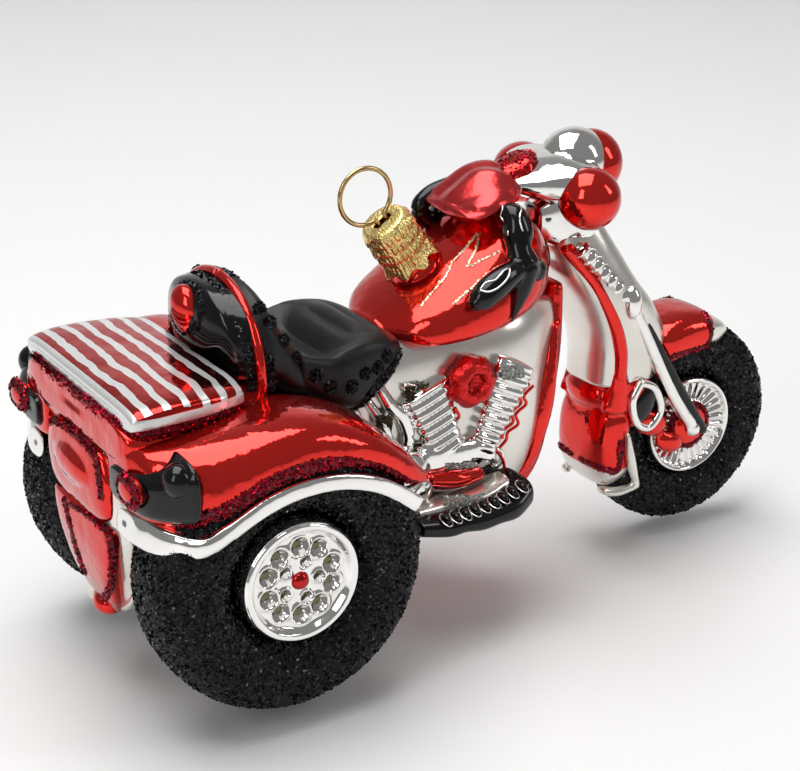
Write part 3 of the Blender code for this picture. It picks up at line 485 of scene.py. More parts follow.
def tyre_grid(x, y, radius, rim, width):
    """The tyre's section is a superellipse between rim and tread, closed on itself."""
    turn = full_turn(48)
    middle, deep = (radius + rim) / 2, (radius - rim) / 2 - 0.12
    profile = np.stack([middle + bent(np.cos(turn), 0.74) * deep,
                        bent(np.sin(turn), 0.74) * (width / 2 - 0.1)], 1)
    return turned(profile, x, abs(y), radius, -1 if y < 0 else 1)


tyres = {"rear_tyre_R": (REAR_AXLE, -TRACK / 2, REAR_R, REAR_RIM, REAR_W, 26000),
         "rear_tyre_L": (REAR_AXLE, TRACK / 2, REAR_R, REAR_RIM, REAR_W, 26000),
         "front_tyre": (FRONT_AXLE, 0, FRONT_R, FRONT_RIM, FRONT_W, 15000)}
for seed, (name, (x, y, radius, rim, width, count)) in enumerate(tyres.items()):
    grid = tyre_grid(x, y, radius, rim, width)
    skin(name + "_ring", [grid], tyre_paint, (name,), loop=True)
    # The first ring comes again at the end, so that flakes lie all round the section
    spots, normals = area_scatter(np.concatenate([grid, grid[:1]]), count, seed)
    outwards = spots - [x, y, radius]
    # The middle of the section on each flake's own side tells which way is out
    to_core = (radius + rim) / 2 / np.hypot(outwards[:, 0], outwards[:, 2])
    core = np.stack([outwards[:, 0] * to_core, 0 * to_core, outwards[:, 2] * to_core], 1)
    normals *= np.sign(dots(normals, outwards - core))[:, None]
    flakes(name + "_glitter", spots, normals, 0.55, black_glitter, seed + 10, lift=0.1)
print("tyres:", len(tyres))

# %% [markdown]
# ## Rear wheel discs
#
# The disc is a silvered dish inside a raised rim, pressed with ten round dimples near the rim and five
# smaller ones near a small red hub. The height over the disc is one function of radius and angle, and
# each dimple takes a smooth bowl from it.

# %% Rear wheel discs
def dimple(k):
    """Dimple k of 15 as (angle, distance from the axle, radius, depth). One of three is small and near."""
    angle = math.radians(72 * (k // 3) + (0, 17, -17)[k % 3])
    return (angle, 6.2, 1.75, 2.75) if k % 3 else (angle, 3.5, 1.15, 2.55)


DIMPLES = [dimple(k) for k in range(15)]


def dished(r, turn):
    """Height over the rear disc: a raised rim, a dish, and bowls of depth (1 - d^2)^1.5 at the dimples."""
    height = np.interp(r, [0, 3.5, 7.6, 8.5, 9.4, 10.2, 10.7], [-1.2, -1.6, -1.6, -1.4, -0.15, -0.05, -0.7])
    height = height + REAR_W / 2
    x, z = r * np.cos(turn), r * np.sin(turn)
    for at, out, size, _ in DIMPLES:
        d = np.hypot(x - math.cos(at) * out, z - math.sin(at) * out) / size
        height = height + 0.35 * np.exp(-((d - 1.05) / 0.22) ** 2) - 1.35 * np.clip(1 - d ** 2, 0, 1) ** 1.5
    return height


def disc_grid(height, rim, back, x, y, z, side, count=200, rows=50):
    """A disc whose outer face is a height over (radius, angle), with a plain back at `back`."""
    turn = full_turn(count)[None]
    r = (rim * np.linspace(0.0, 1, rows) ** 0.8)[1:, None]
    top = height(r, turn)
    full = np.concatenate([top, np.full((1, count), back)])
    radius = np.concatenate([r, [[rim]]]) + 0 * turn
    grid = np.stack([x + radius * np.cos(turn), side * (y + full), z + radius * np.sin(turn)], -1)
    centre = np.repeat(grid[:1].mean(1, keepdims=True), count, 1)
    return np.concatenate([centre, grid])


wheel_disc = disc_grid(dished, REAR_RIM - 0.25, -REAR_W / 2, REAR_AXLE, TRACK / 2, REAR_R, -1)
both("rear_wheel", [wheel_disc], silver)
# Painted shade: a thin dark olive disc lies at the bottom of each dimple, where the silvered hollow looks
# dark.
dimple_shade_paint = finish("painted_dimple_shade", (0.16, 0.145, 0.09), 0.12, 0.9)
relief(dimple_shade_paint, 900, 2, 0.0002)
dimple_shade_pools = [ball((REAR_AXLE + out * math.cos(at), -(REAR_FACE - deep), REAR_R + out * math.sin(at)),
              (0.62 * size, 0.32, 0.62 * size), count=16) for at, out, size, deep in DIMPLES]
both("rear_wheel_dimple_shade", dimple_shade_pools, dimple_shade_paint, swap=False)
hub = turned([(0.01, 0.9), (0.7, 0.85), (1.3, 0.5), (1.65, -0.2), (1.7, -1.2)], REAR_AXLE,
             REAR_FACE - 1.2, REAR_R, -1, 32)
both("rear_hub", [hub], deep_red)
print("rear wheels done")

# %% [markdown]
# ## Front wheel
#
# Both faces of the front wheel have a ring of raised radial ribs for spokes, and a red disc at the
# middle. The ribs are a cosine of the angle, which fades out at both edges of the ring.

# %% Front wheel and its red discs
FRONT_FACE = FRONT_W / 2 + 0.3


def ribbed(r, turn):
    """Height over the front wheel: ribs of |cos(15 t)|^1.5 between 5 and 9 mm from the axle."""
    ring = np.clip((r - 5.0) / 0.8, 0, 1) * np.clip((9.0 - r) / 0.7, 0, 1)
    flat = np.interp(r, [0, 4.6, 5.4, 8.7, 9.3, 9.8, 10.0],
                     [0.80, 0.80, 0.72, 0.80, 1.0, 0.99, 0.9]) * FRONT_FACE
    return flat + ring * (0.75 * np.abs(np.cos(15 * turn)) ** 1.5 - 0.3)


front_faces = [disc_grid(ribbed, FRONT_RIM - 0.2, 0.0, FRONT_AXLE, 0, FRONT_R, side, 240, 30)
               for side in (-1, 1)]
skin("front_wheel_faces", front_faces, silver, ("front_wheel",))
disc = turned([(0.01, 0.45), (1.2, 0.42), (1.6, 0.2), (2.4, 0.12), (3.6, 0.0), (4.4, -0.35), (4.75, -1.0),
               (4.8, -3)], FRONT_AXLE, FRONT_FACE, FRONT_R, -1, 64)
both("front_hub", [disc], red)
print("front wheel done")

# %% [markdown]
# ## Seat and backrest
#
# The saddle is one long soft cushion that rises into a backrest. On the real thing the mould pressed
# three pleats and a border with round studs into it, and the whole of it is satin black.

# %% Seat and backrest
SEAT = (-46.6, -17.0, 42.0, 70.0, 15.0)
seat = form(SEAT, [(0.28, 0.25, 0.55, 0.95), (0.46, 0.1, 0.51, 0.98), (0.56, 0.05, 0.54, 1.0),
                   (0.7, 0.04, 0.57, 0.98), (0.87, 0.14, 0.55, 0.9), (0.97, 0.24, 0.5, 0.78),
                   (1, 0.3, 0.45, 0.66)], waist=0.55, power=4.0, ends=(0.5, 1.2), steps=13, count=144)
backrest = form(SEAT[:1] + (-37.0,) + SEAT[2:],
                [(0, 0.32, 0.93, 0.97), (0.2, 0.3, 0.945, 1.0), (0.42, 0.28, 0.85, 0.98),
                 (0.7, 0.22, 0.66, 0.96), (1, 0.2, 0.53, 0.92)],
                waist=0.35, power=2.6, ends=(0.3, 1.0), count=120)


def mound(x, middle, wide):
    """exp(-((x - middle) / wide)^2)."""
    return np.exp(-((x - middle) / wide) ** 2)


# Only what lies above z = 52 gives way: it sags at x = -31.5 and, less, at x = -21, and has pleats
x, y = seat[..., 0], seat[..., 1]
over = np.clip((seat[..., 2] - 52.0) / 2.5, 0, 1)
inside = np.clip(1 - np.abs(y / 13.5) ** 4, 0, 1)
seat[..., 2] -= over * inside * (4.2 * mound(x, -31.5, 5.2) + mound(x, -21.0, 6.0))
PLEATS_X, PLEAT_PITCH = -28.0, 4.6
pleat = np.clip(1 - np.abs(y / 9.5) ** 3, 0, 1) * np.clip(1.3 - np.abs((x - PLEATS_X) / 8.5) ** 3, 0, 1)
seat[..., 2] += over * pleat * 1.2 * (np.abs(np.cos(np.pi * (x - PLEATS_X) / PLEAT_PITCH)) - 0.5)
skin("seat_cushion", [seat], satin, ("seat",))
skin("backrest_cushion", [backrest], satin, ("backrest",))
print("seat:", seat.shape)

# %% [markdown]
# ## Backrest hump, its lamp and its piping
#
# Behind the backrest stands a black hump with an oval red lamp, and a red piping runs over the top
# between hump and cushion.

# %% Hump, lamp and piping
SHELL = (-53.8, -47.6, 51.0, 68.2, 15.3)
hump = form(SHELL, [(0, 0.48, 0.84, 0.28), (0.12, 0.37, 0.92, 0.5), (0.36, 0.36, 0.98, 0.72),
                    (0.6, 0.05, 1, 0.87), (1, 0, 1, 0.98)], waist=0.3, ends=(0.9, 0.3), count=96)
skin("backrest_hump", [hump], black, ("backrest_shell",))
hump_lamp = ball((SHELL[0] + 1.0, 0, 63.0), (2.8, 4.2, 4.8), -0.2)
skin("hump_lamp", [hump_lamp], red, ("backrest_lamp",))
ARCH_COUNT, ARCH_FOOT = 33, 52.0
swing = np.linspace(0, np.pi, ARCH_COUNT)
arch = np.stack([np.full(ARCH_COUNT, SEAT[0] - 0.4), -15.5 * np.cos(swing),
                 ARCH_FOOT + 16.6 * np.sin(swing) ** 0.8], 1)
skin("backrest_piping_arch", [tube(arch, 0.95, steps=2)], red, ("backrest_piping",))
print("hump:", hump.shape)

# %% [markdown]
# ## Tank and neck
#
# The tank is the largest red form. The glass neck rises from its back: it is the tube that the bubble
# was blown through, and the cap sits on it.

# %% Tank
TANK = (-18.0, 18.5, 50.5, 72.8, 16.0)
tank = form(TANK, [(0, 0.14, 0.26, 0.4), (0.11, 0.04, 0.4, 0.78), (0.27, 0.02, 0.57, 0.96),
                   (0.49, 0.02, 0.8, 1), (0.63, 0.05, 0.95, 0.95), (0.76, 0.1, 1, 0.85),
                   (0.88, 0.2, 0.92, 0.66), (1, 0.36, 0.7, 0.32)], waist=0.32, power=2.3, ends=(1.2, 1.2),
            count=120)
skin("tank_skin", [tank], red, ("tank",))
print("tank:", tank.shape)

# %% The neck's own frame
NECK_FOOT, LEAN = np.array([-7.5, 0.0, 63.2]), math.radians(35.4)
ACROSS = np.array([math.cos(LEAN), 0, math.sin(LEAN)])
AXIS = np.array([-math.sin(LEAN), 0, math.cos(LEAN)])
SIDEWAYS = np.array([0.0, 1.0, 0.0])


def on_neck(profile, count=64, wave=None):
    """A profile of (radius, height) round the neck: foot + axis h + r (across cos t + sideways sin t)."""
    profile = np.asarray(profile, float)
    turn = full_turn(count)
    r, h = profile[:, 0, None], profile[:, 1, None]
    if wave is not None:
        r, h = wave(r, h, turn[None])
    return (NECK_FOOT + AXIS * (h + 0 * turn)[..., None]
            + ACROSS * (r * np.cos(turn))[..., None] + SIDEWAYS * (r * np.sin(turn))[..., None])


neck = on_neck([(2.9, -1.0), (5.0, -1.0), (4.8, 0.6), (4.2, 1.0), (3.8, 1.6), (3.8, 9.2), (3.6, 9.4),
                (3.1, 9.4), (2.9, 9.2)])
skin("neck_tube", [neck], red, ("neck",), loop=True)
print("neck:", neck.shape)

# %% [markdown]
# ## Cap and hanging ring
#
# The cap is a thin gold crown, stamped with small stars and grains, with scalloped flaps round its
# foot. It turns on the neck. A wire with a ring passes its slot, and its sprung legs hold it.

# %% Cap
CAP_IN, CAP_OUT, CAP_TOP, LOBES = 4.2, 4.8, 12.1, 8


def crown(r, h, turn):
    """Lobes r + a cos(8 t) on the outer wall, a scalloped foot, and a relief of grains and stars."""
    wave = np.cos(LOBES * turn)
    outer = np.clip((r - CAP_IN - 0.25) * 4, 0, 1)
    foot = np.clip((3.9 - h) / 1.2, 0, 1)
    star = np.abs(np.cos(2 * LOBES * turn)) * np.abs(np.cos(1.55 * h))
    grain = np.sin(37 * turn + 3 * np.sin(9 * h)) * np.sin(8.5 * h + 2 * np.sin(11 * turn))
    middle = np.clip((11.2 - h) / 0.8, 0, 1) * (1 - foot)
    scallop = 0.5 + 0.5 * wave
    bulge = 0.14 * wave + middle * (0.3 * star - 0.15 + 0.12 * grain) + foot * (0.35 + 0.45 * scallop)
    return r + outer * bulge, h - foot * 1.3 * scallop


wall = [(CAP_OUT - 0.45, 11.6), (CAP_OUT - 0.1, 11.0)]
wall += [(CAP_OUT, h) for h in np.linspace(10.6, 4.2, 26)]
wall += [(CAP_OUT + 0.05, 3.6), (CAP_OUT + 0.12, 3.1), (CAP_OUT + 0.1, 2.85), (CAP_IN + 0.3, 2.8),
         (CAP_IN, 3.0), (CAP_IN, 7.0), (CAP_IN, 11.0), (CAP_IN - 0.4, 11.5)]
cap_wall = on_neck(wall, 256, crown)
round_turn = full_turn(256)
slot = np.stack([bent(np.cos(round_turn), 0.4) * 1.9, bent(np.sin(round_turn), 0.4) * 0.85], 1)
circle = np.stack([np.cos(round_turn), np.sin(round_turn)], 1)


def lid_ring(share, height, radius):
    """A ring on the cap's flat top: slot * (1 - share) + circle * radius * share."""
    flat = slot * (1 - share) + circle * radius * share
    return NECK_FOOT + AXIS * height + ACROSS * flat[:, :1] + SIDEWAYS * flat[:, 1:]


top = [lid_ring(0, CAP_TOP - 0.55, 0), lid_ring(0, CAP_TOP - 0.1, 0), lid_ring(0.06, CAP_TOP, 3.7)]
top += [lid_ring(share, CAP_TOP, 3.7) for share in (0.3, 0.55, 0.8, 1.0)] + [lid_ring(1, CAP_TOP - 0.1, 4.05)]
under = [lid_ring(1, CAP_TOP - 0.62, 3.5), lid_ring(0.5, CAP_TOP - 0.6, 3.5)]
cap_grid = np.concatenate([np.array(top), cap_wall, np.array(under)])
skin("cap_crown", [cap_grid], gold, ("cap",), "cap", loop=True)
print("cap:", cap_grid.shape)

# %% Hanging ring
WIRE, RING, LEG, LEG_END = 0.45, 5.15, 1.0, 4.4
ring_at = CAP_TOP + RING + WIRE + 0.3
inset = math.asin(LEG / RING)
bend = np.linspace(inset, 2 * np.pi - inset, 73)
leg = np.array([(-LEG, LEG_END), (-LEG, 8.0), (-LEG, CAP_TOP - 1.0)])
path = np.concatenate([leg, np.stack([-np.sin(bend) * RING, ring_at - np.cos(bend) * RING], 1),
                       leg[::-1] * [-1, 1]])
wire = NECK_FOOT + AXIS * path[:, 1:] + ACROSS * path[:, :1]
skin("hanger_wire", [tube(wire, WIRE, 0.1, steps=1, count=20)], gold_wire, ("hanger",), "hanger")
print("ring centre:", np.round(NECK_FOOT + AXIS * ring_at, 2))

# %% [markdown]
# ## Tail: lid, trunk, lamps and panels
#
# The luggage lid is a shallow cushion with painted stripes. The trunk below it is red, black housings
# with red lenses wrap the rear corners, and a pouch-like panel and an apron hang in the middle.

# %% Tail
LID = (-73.8, -52.4, 52.6, 57.0, 23.4)
TRUNK = (-74.6, -47.0, 43.0, 53.0, 23.0)
CORE = (-73.6, -26.0, 11.0, 48.0, 14.6)
lid = form(LID, [(0, 0.02, 0.5, 0.92), (0.04, 0, 0.78, 0.98), (0.3, 0, 0.98, 1), (0.7, 0, 1, 0.96),
                 (0.96, 0, 0.9, 0.88), (1, 0.05, 0.7, 0.82)], waist=0.3, power=5, ends=(0.3, 0.3), count=160)
trunk = form(TRUNK, [(0, 0.35, 1, 0.86), (0.06, 0.1, 1, 0.97), (0.4, 0, 1, 1), (1, 0, 1, 0.95)], power=4.5,
             ends=(0.2, 0.2), count=120)
skin("lid_skin", [lid], red, ("trunk_lid",))
skin("trunk_skin", [trunk], red, ("trunk",))
FENDER_Y = TRACK / 2 - 0.9
LAMP = (-75.2, -67.6, 39.4, 50.2, 9.9)
housing = form(LAMP, [(0, 0.12, 0.58, 0.36, 0.6), (0.16, 0.03, 0.66, 0.62, 0.36), (0.5, 0, 0.8, 0.82, 0.17),
                      (0.88, 0, 1, 0.97, 0.02), (1, 0.06, 0.97, 0.95, 0.02)], power=4, y=FENDER_Y + 1.8,
               ends=(0.3, 0.3))
both("tail_lamp", [flipped(housing)], black)
lens = ball((LAMP[0] + 0.4, -(FENDER_Y + 0.4), LAMP[2] + 4.6), (1.7, 3.8, 2.5))
both("tail_lens", [lens], red)
print("tail boxes done")

# %% Panels of the tail
def panel(out, rows):
    """A cushion on the tail's rear face: rows of (height, half width, how far forward)."""
    full = soft(rows, 6)
    share = np.linspace(0, 1, len(full))
    swell = np.sin(np.pi * (share * (len(rows) - 1) + 0.6) / (len(rows) + 0.2)) ** 0.5
    across, up = ovals(full[:, 1], out * swell, np.full(len(full), 3.0), 3.0, 96)
    grid = np.stack([CORE[0] + full[:, 2, None] - up, across, full[:, 0, None] + 0 * up], -1)
    return domed(grid, 0.4, 0.4)


pouch = panel(2.2, [(45.6, 7.0, 0), (44.6, 10.4, 0), (41.0, 12.8, 0), (37.0, 12.9, 0), (34.0, 12.2, 0),
                    (32.4, 10.0, 0)])
egg = ball((CORE[0] - 1.0, 0, 39.6), (2.4, 8.6, 3.6), -0.15, 48)
apron = panel(1.7, [(31.6, 10.0, 0), (30.6, 12.6, 0), (26.0, 11.6, 0.1), (20.0, 9.4, 1.0), (15.5, 7.0, 2.2),
                    (11.8, 3.8, 3.8)])
melted(skin("pouch_skin", [pouch, egg], red, ("rear_pouch",)), 0.4, 5)
skin("apron_skin", [apron, ball((CORE[0] + 3.4, 0, 12.4), (2.8, 3.2, 2.4))], red, ("rear_apron",))
skin("apron_tip_paint", [ball((CORE[0] + 2.7, 3.2, 15.6), (1.7, 1.5, 4.2), 0.25)], pearl)
print("panels:", pouch.shape, apron.shape)

# %% [markdown]
# ## Core, fenders and silver trim
#
# The pearl core of the tail and of the engine carries all the rest. The rear fenders swell over the
# tyres, and a silver trim runs along their edge and ends in a broad scroll at the rear corner.

# %% Core and fenders
ENGINE = (-27.0, 19.5, 17.5, 56.0, 11.6)
engine = form(ENGINE, [(0, 0.35, 0.9, 0.8), (0.25, 0.12, 0.98, 1), (0.55, 0.02, 1, 1), (0.8, 0.04, 1, 0.92),
                       (1, 0.5, 0.96, 0.5)], power=4, count=120)
core = form(CORE, [(0, 0.42, 0.96, 0.92), (0.03, 0.23, 0.98, 0.97), (0.07, 0.08, 1, 1), (0.12, 0.01, 1, 1),
                   (0.5, 0.08, 1, 1), (0.8, 0.2, 1, 0.95), (1, 0.3, 0.95, 0.9)], waist=0.7, ends=(0.3, 0.8),
            count=96)
skin("engine_core_skin", [engine], pearl, ("engine_core",))
skin("rear_core_skin", [core], pearl, ("rear_core",))
FENDER = (-74.4, -24.5, 34.0, 52.4, REAR_W / 2 + 1.9)
fender_rows = [(0, 0.3, 0.86, 0.4, 0.5), (0.03, 0.2, 0.88, 0.62, 0.33), (0.09, 0.14, 0.9, 0.81, 0.19),
               (0.17, 0.17, 0.92, 0.95, 0.06), (0.29, 0.3, 0.96, 1), (0.44, 0.45, 1.0, 1),
               (0.6, 0.5, 1.0, 0.98), (0.78, 0.4, 0.84, 0.94), (0.92, 0.16, 0.55, 0.84), (1, 0.1, 0.3, 0.72)]
fender = flipped(form(FENDER, fender_rows, waist=0.35, power=2.7, y=FENDER_Y, ends=(0.3, 0.8), count=96))
both("rear_fender", [fender], red)
print("core and fenders done")

# %% Silver trim with its scroll
edge = np.array([(-1.0, 0.448, 14.4, 3.6, 2.3), (-0.93, 0.436, 10.0, 4.2, 2.8), (-0.83, 0.424, 6.4, 4.0, 2.6),
                 (-0.7, 0.428, 2.8, 3.1, 2.1), (-0.52, 0.52, 0.2, 1.2, 1.5), (-0.26, 0.635, 0, 0.9, 1.5),
                 (0, 0.69, 0, 0.9, 1.5), (0.3, 0.675, 0.1, 0.9, 1.5), (0.6, 0.565, 0.5, 0.9, 1.5),
                 (0.91, 0.335, 2.2, 0.9, 1.5)])
trim_rows = np.stack([REAR_AXLE + edge[:, 0] * REAR_R, -(REAR_FACE + 0.5 - edge[:, 2]),
                      (1 + edge[:, 1]) * REAR_R, edge[:, 3], edge[:, 4]], 1)
both("bumper_trim", [limb(trim_rows, 2.6, (0.4, 0.4), 8, 40)], silver)
print("trim done")

# %% [markdown]
# ## Engine side
#
# Both sides of the engine carry silver reliefs: a primary dome, two finned cylinders in a V, a
# crankcase, a red air cleaner with a dark hole, a red cover below, and a black ribbed footboard.

# %% Cylinders, covers and footboards
FACE = ENGINE[4]
FINS, FOOT_SHARE = 9, 0.62


def barrel(low, high, half):
    """A finned barrel: between two fins it loses a groove of 0.8 (1 - |cos|^0.7), and it widens upwards."""
    share = np.linspace(0, 1, 14 * FINS + 1)
    groove = 0.8 * (1 - np.abs(np.cos(np.pi * FINS * share)) ** 0.7)
    wide = half * (FOOT_SHARE + (1 - FOOT_SHARE) * share) - 0.7 * groove
    x, z = (a + (b - a) * share for a, b in zip(low, high))
    rows = np.stack([x, -(FACE + 0.4 - 0.5 * groove), z, 2.4 - groove, wide], 1)
    return limb(rows, 3.2, (0.3, 0.5), 1, 44)


def face_limb(rows, *options, **more):
    """A limb on the engine's right side: its rows say how far out of the engine's face they lie."""
    return limb([(x, -(FACE + out), z, half, deep) for x, out, z, half, deep in rows], *options, **more)


case = face_limb([(-16.0, 0.2, 31.0, 2.4, 3.4), (-6.0, 0.2, 30.0, 2.6, 3.6), (1.0, 0.2, 30.0, 2.2, 3.0)], 3.0,
                 (1, 1))
dome = ball((-18.0, -(FACE + 2.0), 30.4), (4.6, 3.4, 4.2))
low_dome = ball((-15.2, -(FACE + 1.8), 26.6), (3.3, 2.8, 3.3))
frame_tubes = [rope(rows) for rows in (
    [(-22.5, -11.4, 47.5, 1.1), (-20.6, -12.2, 43.6, 1.3), (-18.0, -12.4, 40.6, 1.4),
     (-16.6, -12.4, 36.6, 1.3), (-17.2, -12.4, 33.4, 1.2)],
    [(-24.0, -11.0, 44.0, 0.9), (-21.8, -12.0, 40.0, 1.0), (-20.6, -12.2, 36.4, 1.0),
     (-20.8, -12.0, 33.0, 0.9)],
    [(-16.5, -11.6, 45.6, 0.8), (-13.0, -12.4, 44.0, 1.1), (-9.5, -12.2, 44.4, 0.8)])]
right_head = face_limb([(4.6, 0.3, 42.4, 1.9, 4.0), (6.4, 0.3, 45.8, 2.1, 4.3)], 3.4, (0.6, 0.8))
curl_turn = full_turn(25, True)
curl = tube(np.stack([2.4 + 1.3 * np.cos(curl_turn), 0 * curl_turn - (FACE + 0.9),
                      28.0 + 1.7 * np.sin(curl_turn)], 1), 0.5, 0.2, 1)
for piece in both("twin_cylinders", [barrel((-1.6, 29.4), (5.9, 44.6), 4.5),
                                     barrel((-7.4, 29.4), (-13.2, 44.6), 5.0), right_head, case, dome,
                                     low_dome, curl] + frame_tubes, silver):
    melted(piece, 0.32, 2)
print("cylinder grid:", case.shape)

# %% Air cleaner, cover and footboard
CLEANER_X, CLEANER_Z = -4.0, 44.8
cleaner = turned([(0.01, 2.6), (1.5, 2.7), (1.8, 3.2), (2.2, 4.4), (3.0, 4.45), (3.9, 4.0), (4.7, 2.6),
                  (4.9, 1.8), (4.4, -0.5)], CLEANER_X, FACE, CLEANER_Z, -1, 64)
seven_lobes = 1 + 0.05 * np.cos(7 * full_turn(64))
cleaner[..., 0] = CLEANER_X + (cleaner[..., 0] - CLEANER_X) * seven_lobes
cleaner[..., 2] = CLEANER_Z + (cleaner[..., 2] - CLEANER_Z) * seven_lobes
rough_red = lacquer("granular_red_lacquer", (0.70, 0.02, 0.02), (0.32, 0.002, 0.005), 0.3, 0.0004, 0.1)
relief(rough_red, 1300, 2, 0.0003)
both("air_cleaner", [cleaner], rough_red)
cover = face_limb([(-13.2, 2.8, 28.0, 1.7, 1.3), (-8.0, 3.5, 27.2, 2.0, 1.8), (-2.6, 2.8, 26.8, 1.7, 1.2)],
                  ends=(0.8, 0.8))
cover_lip = face_limb([(-13.0, 1.6, 25.6, 1.2, 0.5), (-8.0, 2.0, 24.8, 1.4, 0.6),
                       (-2.4, 1.6, 24.7, 1.2, 0.5)])
for piece in both("gear_cover", [cover], red) + both("gear_cover_lip", [cover_lip], pearl, swap=False):
    melted(piece, 0.3, 2)
board_rows = [(0, 0.14, 0.86, 0.66), (0.2, 0.02, 0.9, 0.9), (0.34, 0.1, 0.92, 0.96), (0.5, 0, 0.96, 1),
              (0.66, 0.08, 1.02, 0.99), (0.84, 0.06, 1.2, 0.94), (1, 0.34, 1.5, 0.74)]
board = flipped(form((-18.4, 4.2, 19.2, 23.8, 7.4), board_rows, power=3.0, y=16.6, ends=(0.8, 1.2), steps=12,
                     count=64))
both("footboard", [board], black)
ledge = flipped(form((-17.0, 1.8, 21.4, 25.0, 3.8),
                     [(0, 0.1, 0.7, 0.7), (0.3, 0, 0.9, 1), (0.7, 0, 1, 1), (1, 0.1, 1.3, 0.7)], power=3,
                     y=15.4))
both("footboard_ledge", [ledge], pearl, swap=False)


def along_board(share):
    """A place on the footboard's outer edge, from its rear (0) to its front (1), where it rises."""
    return np.array([-14.5 + 16.8 * share, -21.9 + 0.9 * share, 23.4 + 2.3 * share ** 2.4])


bead_at = np.linspace(0, 1, 9)
ring_turn = full_turn(21, True)
ring_shape = np.stack([0.95 * np.cos(ring_turn), 1.6 * np.sin(ring_turn) - 0.25,
                       0.55 * np.sin(ring_turn) - 0.1], 1)
both("footboard_beads", [ball(along_board(s), (0.85, 1.5, 0.9), count=20) for s in bead_at], black,
     swap=False)
both("footboard_bead_rings", [tube(along_board(s) + ring_shape, 0.13, 0.05, 1, 6) for s in bead_at], silver,
     swap=False)
print("engine side done")

# %% Down tube
tube_rows = [(21.2, 0, 56.0, 5.0, 1.7), (20.2, 0, 45.0, 6.4, 1.7), (18.2, 0, 33.9, 7.0, 1.7),
             (14.6, 0, 22.4, 7.6, 1.7), (8.0, 0, 17.6, 8.0, 1.7), (-4.0, 0, 16.6, 8.4, 1.7),
             (-18.0, 0, 17.2, 8.6, 1.7)]
cheek_rows = [(19.6, 0, 49.0, 6.6, 1.4), (17.2, 0, 40.0, 9.2, 2.4), (15.4, 0, 32.0, 9.9, 2.6),
              (12.4, 0, 23.5, 9.4, 2.0), (8.0, 0, 19.2, 8.6, 1.4)]
melted(skin("down_tube_skin",
            [limb(tube_rows, 3.0, (0.6, 0.8), 8, 48), limb(cheek_rows, 3.0, (0.6, 0.6), 8, 48)], red,
            ("down_tube",)), 0.55)
print("down tube done")

# %% [markdown]
# ## Head: lamps, cowl, gauge and handlebars
#
# The silver head carries a big lamp with a red glass, two red ball lamps, a faceted red cowl and a red
# gauge. The handlebars are black: a thick bar over the tank, with a grip, a lever and a ball end.

# %% Head
LAMP_R, LAMP_X, LAMP_Z = 6.4, 28.6, 78.2
SPOT_R, SPOT_X, SPOT_Y, SPOT_Z = 5.8, 22.9, 10.9, 74.2
bridge = form((10.0, 27.0, 71.0, 82.6, 12.0),
              [(0, 0.4, 0.6, 0.4), (0.3, 0.2, 0.74, 0.7), (0.65, 0.1, 0.88, 1), (1, 0.15, 0.8, 0.8)],
              ends=(0.8, 0.8))
nacelle = ball((LAMP_X - 1.6, 0, LAMP_Z + 0.1), (LAMP_R + 0.4, LAMP_R, LAMP_R), count=48)
skin("nacelle_skin", [nacelle, bridge], silver, ("headlamp_nacelle",))
steering = form((18.0, 31.0, 62.0, 75.0, 6.4),
                [(0, 0.25, 0.75, 0.5), (0.3, 0.05, 1, 0.85), (0.7, 0, 1, 1), (1, 0.1, 0.8, 0.7)], power=2.8)
skin("steering_head_skin", [steering], silver, ("steering_head",))
headlamp = ball((LAMP_X + 2.4, 0, LAMP_Z - 0.7), (LAMP_R - 0.6, LAMP_R - 0.2, LAMP_R - 0.1), count=48)
skin("headlamp_glass", [headlamp], red, ("headlamp_lens",))
both("passing_lamp", [ball((SPOT_X, -SPOT_Y, SPOT_Z), (SPOT_R,) * 3, count=48)], red)
gauge = form((9.2, 16.8, 75.6, 81.6, 4.8),
             [(0, 0.3, 0.55, 0.4), (0.25, 0.1, 0.75, 0.8), (0.7, 0.2, 0.95, 0.9), (1, 0.5, 1, 0.5)])
skin("gauge_skin", [gauge], red, ("gauge",))
cowl = form((-1.0, 12.6, 69.5, 80.4, 9.2),
            [(0, 0.25, 0.46, 0.8), (0.16, 0.12, 0.68, 1), (0.45, 0.1, 0.97, 1), (0.75, 0.2, 1, 0.86),
             (1, 0.4, 0.8, 0.5)], waist=0.45, power=1.5, count=96)
crease = 0.9 * np.abs(((cowl[..., 1] * 0.9 + cowl[..., 0] * 0.5) / 3.1) % 2 - 1) - 0.45
cowl[..., 2] += crease * (cowl[..., 2] > 74.5)
cowl_red = lacquer("duller_red_lacquer", (0.72, 0.05, 0.05), (0.36, 0.006, 0.012), 0.24, 0.0005, 0.15)
skin("cowl_skin", [cowl], cowl_red, ("cowl",))
print("head done")

# %% Handlebars
bar = rope([(5.8, -8.6, 73.6, 1.9), (6.6, -10.6, 73.0, 2.5), (6.5, -12.0, 70.4, 2.9), (6.0, -13.2, 68.0, 2.3),
            (6.2, -14.2, 65.4, 3.2)])
knuckle = ball((6.8, -14.2, 65.0), (3.4, 2.4, 2.6), 0.4)
lever = rope([(6.4, -14.8, 65.0, 2.6), (5.2, -15.4, 61.6, 2.0), (4.2, -15.7, 58.6, 1.1),
              (3.2, -15.8, 56.2, 0.4)])
grip = rope([(5.6, -14.9, 64.9, 1.8), (2.0, -15.8, 64.4, 2.4), (-1.6, -16.3, 62.8, 2.7),
             (-4.4, -16.7, 61.3, 2.3), (-5.6, -16.9, 60.6, 1.4)])
end_ball = ball((9.2, -14.2, 63.8), (1.9, 1.9, 2.1))
right_bar = [bar, knuckle, lever, grip, end_ball]
left_arch = rope([(5.2, 8.4, 74.8, 1.6), (1.0, 8.6, 73.6, 1.7), (-1.6, 8.6, 71.2, 1.7), (0.6, 9.0, 68.6, 1.8),
                  (4.0, 8.6, 67.4, 2.2)])
